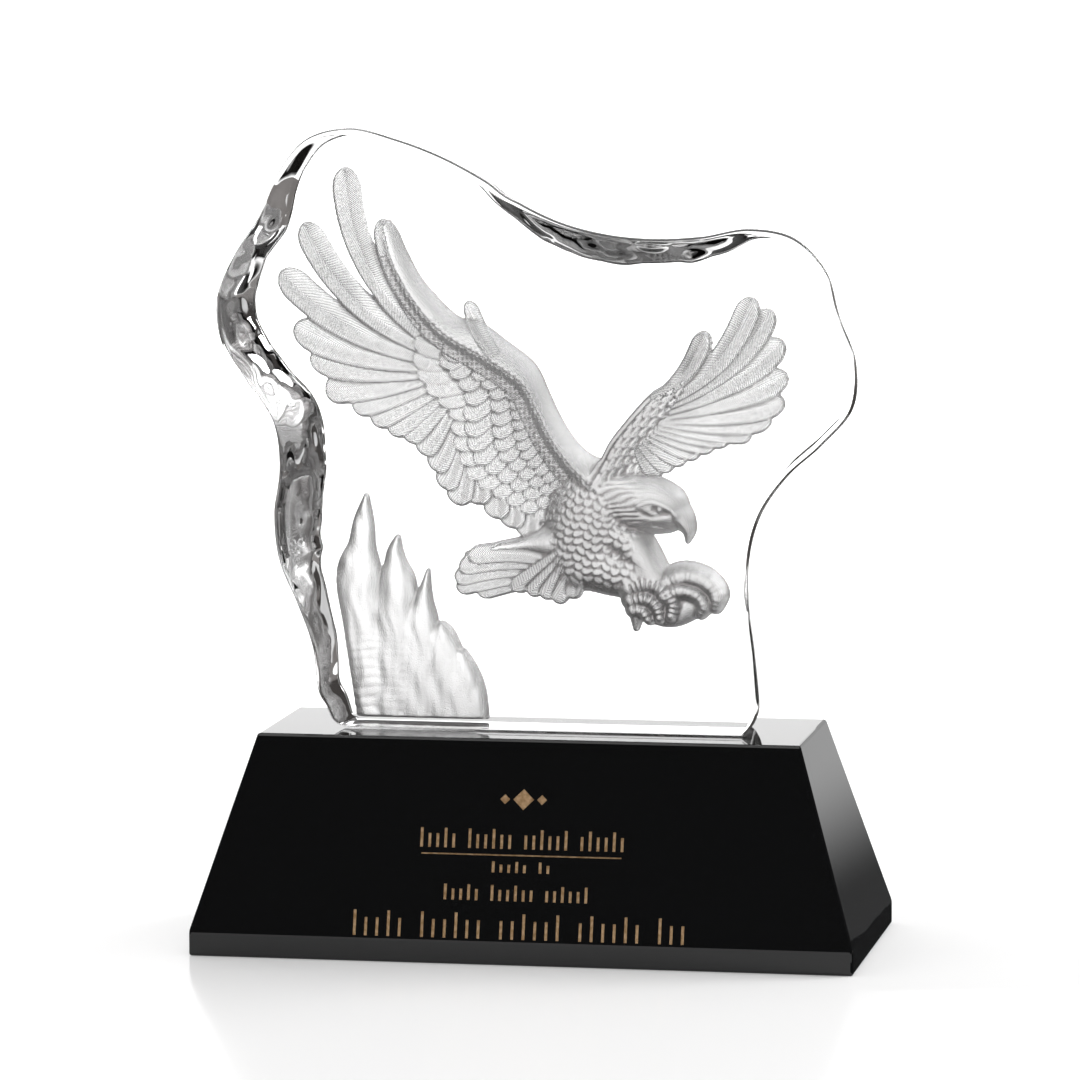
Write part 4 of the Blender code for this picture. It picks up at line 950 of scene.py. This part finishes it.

# Studio
# A sheet of white paper sweeps back from under the award and up behind it, on a dark table.
# Soft lights hang overhead and at the right. Cards that the camera looks past paint shade
# and light into what the crystal's edges bend into sight and what the end of the base mirrors.
VIEW_TURN = math.radians(-11.05)
SHEET_NEAR = (-0.26, 0.22)      # left and right of the view at the sheet's front edge
SHEET_FAR = (-0.44, 0.50)
SHEET_FRONT = -0.30
SHEET_BEND = 1.9
BEND_RADIUS = 0.35
SHADE_PLACE = (-0.045, 0.20, 0)     # middle of the shade that the award casts behind it
SHADE_SIZE = (0.10, 0.19, 0.1)
SHEET_TOP = 1.5
TABLE_RADIUS = 3.0
TABLE_COLOUR = (0.105, 0.096, 0.092, 1)
ROOM_COLOUR = (0.05, 0.046, 0.044, 1)
PAPER_WHITE = (0.86, 0.86, 0.86, 1)
WHITE = (1, 1, 1, 1)
# Each card's left, right, near, far, low and top in the view's axes
FLOOR_CARD = (-0.30, 0.30, 0.11, 0.385, 0.001, 0.001)
END_CARD = (0.080, 0.150, 0.05, 0.05, 0.0, 0.075)
FOOT_CARD = (0.080, 0.17, -0.07, 0.06, 0.0006, 0.0006)
BRIGHT_CARD = (0.40, 1.30, 0.45, 0.45, 0.0, 0.36)
# Each light's place, aim, size, power, and the share of it that polished crystal shows
OVERHEAD = ((0, 0.15, 1.6), (0, 0.1, 0), 3.4, 52, 0.17)
RIGHT_LIGHT = ((1.1, 0.5, 1.0), (0, 0, 0.14), 0.7, 14, 0.02)
LENS = 199.2
EYE = (0.303, -1.555, 0.302)
EYE_PITCH = math.radians(-6.97)
EYE_ROLL = math.radians(-0.34)


def make_sheet():
    """The paper: level from its front edge to the bend, then upright."""
    rows, columns = 60, 3
    bend = BEND_RADIUS * math.pi / 2
    reach_back = SHEET_BEND - SHEET_FRONT
    total = reach_back + bend + SHEET_TOP - BEND_RADIUS
    deselect()
    bpy.ops.mesh.primitive_grid_add(x_subdivisions=columns - 1, y_subdivisions=rows - 1, size=1)
    sheet = named("paper_sheet")
    for vert in sheet.data.vertices:
        along = (vert.co.y + 0.5) * total
        widen = min(along / reach_back, 1)
        left, right = (mix(a, b, widen) for a, b in zip(SHEET_NEAR, SHEET_FAR))
        across = mix(left, right, vert.co.x + 0.5)
        if along < reach_back:
            back, high = SHEET_FRONT + along, 0.0
        elif along < reach_back + bend:
            turned = (along - reach_back) / BEND_RADIUS
            back = SHEET_BEND + BEND_RADIUS * math.sin(turned)
            high = BEND_RADIUS * (1 - math.cos(turned))
        else:
            back, high = SHEET_BEND + BEND_RADIUS, BEND_RADIUS + along - reach_back - bend
        vert.co = Matrix.Rotation(-VIEW_TURN, 3, "Z") @ Vector((across, back, high))
    for polygon in sheet.data.polygons:
        polygon.use_smooth = True
    return sheet


def bare_material(name):
    """A new material whose output has no shader yet."""
    material = bpy.data.materials.new(name)
    material.use_nodes = True
    material.node_tree.nodes.remove(material.node_tree.nodes["Principled BSDF"])
    return material, material.node_tree.nodes["Material Output"]


def white_paper():
    """White paper with a weak sheen and a painted glow that grows along it towards the top, and a
    painted shadow of the award on it.
    """
    material, output = bare_material("white_paper")
    where = node(material, "TexCoord").outputs["Object"]
    split = node(material, "SeparateXYZ", vector=where)
    # Painted glow: stronger towards the back, a little weaker above 0.2 m
    back = node(material, "MapRange", value=split.outputs["Y"], from_min=0.0, from_max=1.8,
                to_min=0.14, to_max=1.36)
    top = node(material, "MapRange", value=split.outputs["Z"], from_min=0.20, from_max=0.42,
               to_min=0.0, to_max=-0.35)
    lit = node(material, "Math", operation="ADD", in0=back, in1=top)
    # Painted shadow of the award, darkening both the paper's colour and its glow
    place = node(material, "Mapping", vector_type="TEXTURE", vector=where, location=SHADE_PLACE,
                 rotation=(0, 0, -VIEW_TURN), scale=SHADE_SIZE)
    near = node(material, "TexGradient", gradient_type="SPHERICAL", vector=place)
    shade = node(material, "ValToRGB", fac=near.outputs["Fac"])
    ramp(shade, 0.0, WHITE, 0.35, (0.02, 0.02, 0.02, 1))
    shaded = node(material, "Math", operation="MULTIPLY", in0=lit, in1=shade)
    paper = node(material, "Mix", data_type="RGBA", blend_type="MULTIPLY", in0=1.0,
                 in6=PAPER_WHITE, in7=shade)
    matt = node(material, "BsdfDiffuse", color=paper.outputs[2])
    gloss = node(material, "BsdfGlossy", roughness=0.16)
    sheen = node(material, "MixShader", fac=0.21, in1=matt, in2=gloss)
    glow = node(material, "Emission", color=WHITE, strength=shaded)
    feed(material, output, surface=node(material, "AddShader", in0=sheen, in1=glow))
    return material


def softbox(name, place, aim, size, power, sharp):
    """A soft square light, dimmer where polished crystal bends the sight straight to it."""
    light = bpy.data.lights.new(name, "AREA")
    light.shape = "RECTANGLE"
    light.size = light.size_y = size
    light.energy = power
    lamp = bpy.data.objects.new(name, light)
    bpy.context.scene.collection.objects.link(lamp)
    lamp.location = place
    lamp.rotation_euler = (Vector(aim) - Vector(place)).to_track_quat("-Z", "Y").to_euler()
    light.use_nodes = True
    sight = node(light, "LightPath").outputs["Is Singular Ray"]
    dim = node(light, "MapRange", value=sight, to_min=1.0, to_max=sharp)
    feed(light, light.node_tree.nodes["Emission"], strength=dim)


def card_paint(name, sharp):
    """Shines as much as the card's glow says where its cover is thick, to sharp sight or all."""
    material, output = bare_material(name)
    cover, glow = (node(material, "Attribute", attribute_name=key).outputs["Fac"]
                   for key in ("cover", "glow"))
    met = node(material, "Math", operation="MULTIPLY", in0=cover, in1=1.0)
    if sharp:
        feed(material, met, in1=node(material, "LightPath").outputs["Is Singular Ray"])
    bare = node(material, "BsdfTransparent")
    shine = node(material, "Emission", color=WHITE, strength=glow)
    feed(material, output, surface=node(material, "MixShader", fac=met, in1=bare, in2=shine))
    return material


def card(name, box, cover, glow, sharp):
    """A card in the view's axes; cover and glow are functions of its two shares from 0 to 1."""
    left, right, near, far, low, top = box
    deselect()
    bpy.ops.mesh.primitive_grid_add(x_subdivisions=32, y_subdivisions=32, size=1)
    made = named(name)
    shares = []
    for vert in made.data.vertices:
        a, b = vert.co.x + 0.5, vert.co.y + 0.5
        shares.append((a, b))
        place = Vector((mix(left, right, a), mix(near, far, b), mix(low, top, b)))
        vert.co = Matrix.Rotation(-VIEW_TURN, 3, "Z") @ place
    for key, value in (("cover", cover), ("glow", glow)):
        layer = made.data.attributes.new(key, "FLOAT", "POINT")
        layer.data.foreach_set("value", [float(value(a, b)) for a, b in shares])
    made.data.materials.append(card_paint(name, sharp))
    made.visible_camera = made.visible_diffuse = made.visible_shadow = False
    return made


sheet = make_sheet()
sheet.data.materials.append(white_paper())

deselect()
bpy.ops.mesh.primitive_circle_add(vertices=96, radius=TABLE_RADIUS, fill_type="NGON",
                                  location=(0, 0, -0.001))
table = named("table")
settle(table)
table.data.materials.append(principled("dark_table", base_color=TABLE_COLOUR, roughness=0.7)[0])

# Painted shade: a black card seen only by sharp sight through the crystal, darkening its outlines
floor_card = card("floor_card", FLOOR_CARD, lambda a, b: ease((0.5 - abs(a - 0.5)) / 0.12)
                  * ease((1 - b) / 0.1), lambda a, b: 0.0, sharp=True)
floor_card.visible_glossy = False
# Painted reflection: a card seen only in reflections, dark at its foot and brighter upwards,
# mirrored in the end of the base
end_card = card("end_card", END_CARD, lambda a, b: 1.0,
                lambda a, b: 0.08 + 0.75 * ease((b * END_CARD[5] - 0.012) / 0.036), sharp=False)
# Painted shade: a near-black card on the floor, seen only in reflections, darkening the lower end
# of the base
foot_card = card("foot_card", FOOT_CARD, lambda a, b: 1.0, lambda a, b: 0.02, sharp=False)
end_card.visible_transmission = foot_card.visible_transmission = False
# Painted light: a glowing card, no lamp, seen only by sharp sight in the crystal, dimmer towards
# its top
card("bright_card", BRIGHT_CARD, lambda a, b: ease(a / 0.08) * ease((1 - a) / 0.08)
     * ease((1 - b) / 0.25), lambda a, b: 0.8 - 0.35 * b, sharp=True)

softbox("overhead", *OVERHEAD)
softbox("right", *RIGHT_LIGHT)

world = bpy.data.worlds.new("studio")
bpy.context.scene.world = world
world.use_nodes = True
feed(world, world.node_tree.nodes["Background"], color=ROOM_COLOUR)

camera = bpy.data.cameras.new("camera")
camera.sensor_width = 36
camera.lens = LENS
eye = bpy.data.objects.new("camera", camera)
bpy.context.scene.collection.objects.link(eye)
level = math.cos(EYE_PITCH)
ahead = Vector((math.sin(VIEW_TURN) * level, math.cos(VIEW_TURN) * level, math.sin(EYE_PITCH)))
right = Vector((math.cos(VIEW_TURN), -math.sin(VIEW_TURN), 0))
up = right.cross(ahead)
cos, sin = math.cos(EYE_ROLL), math.sin(EYE_ROLL)
right, up = right * cos + up * sin, up * cos - right * sin
turn = Matrix((right, up, -ahead)).transposed().to_4x4()
eye.matrix_world = Matrix.Translation(EYE) @ turn
bpy.context.scene.camera = eye
bpy.context.scene.view_settings.view_transform = "Standard"
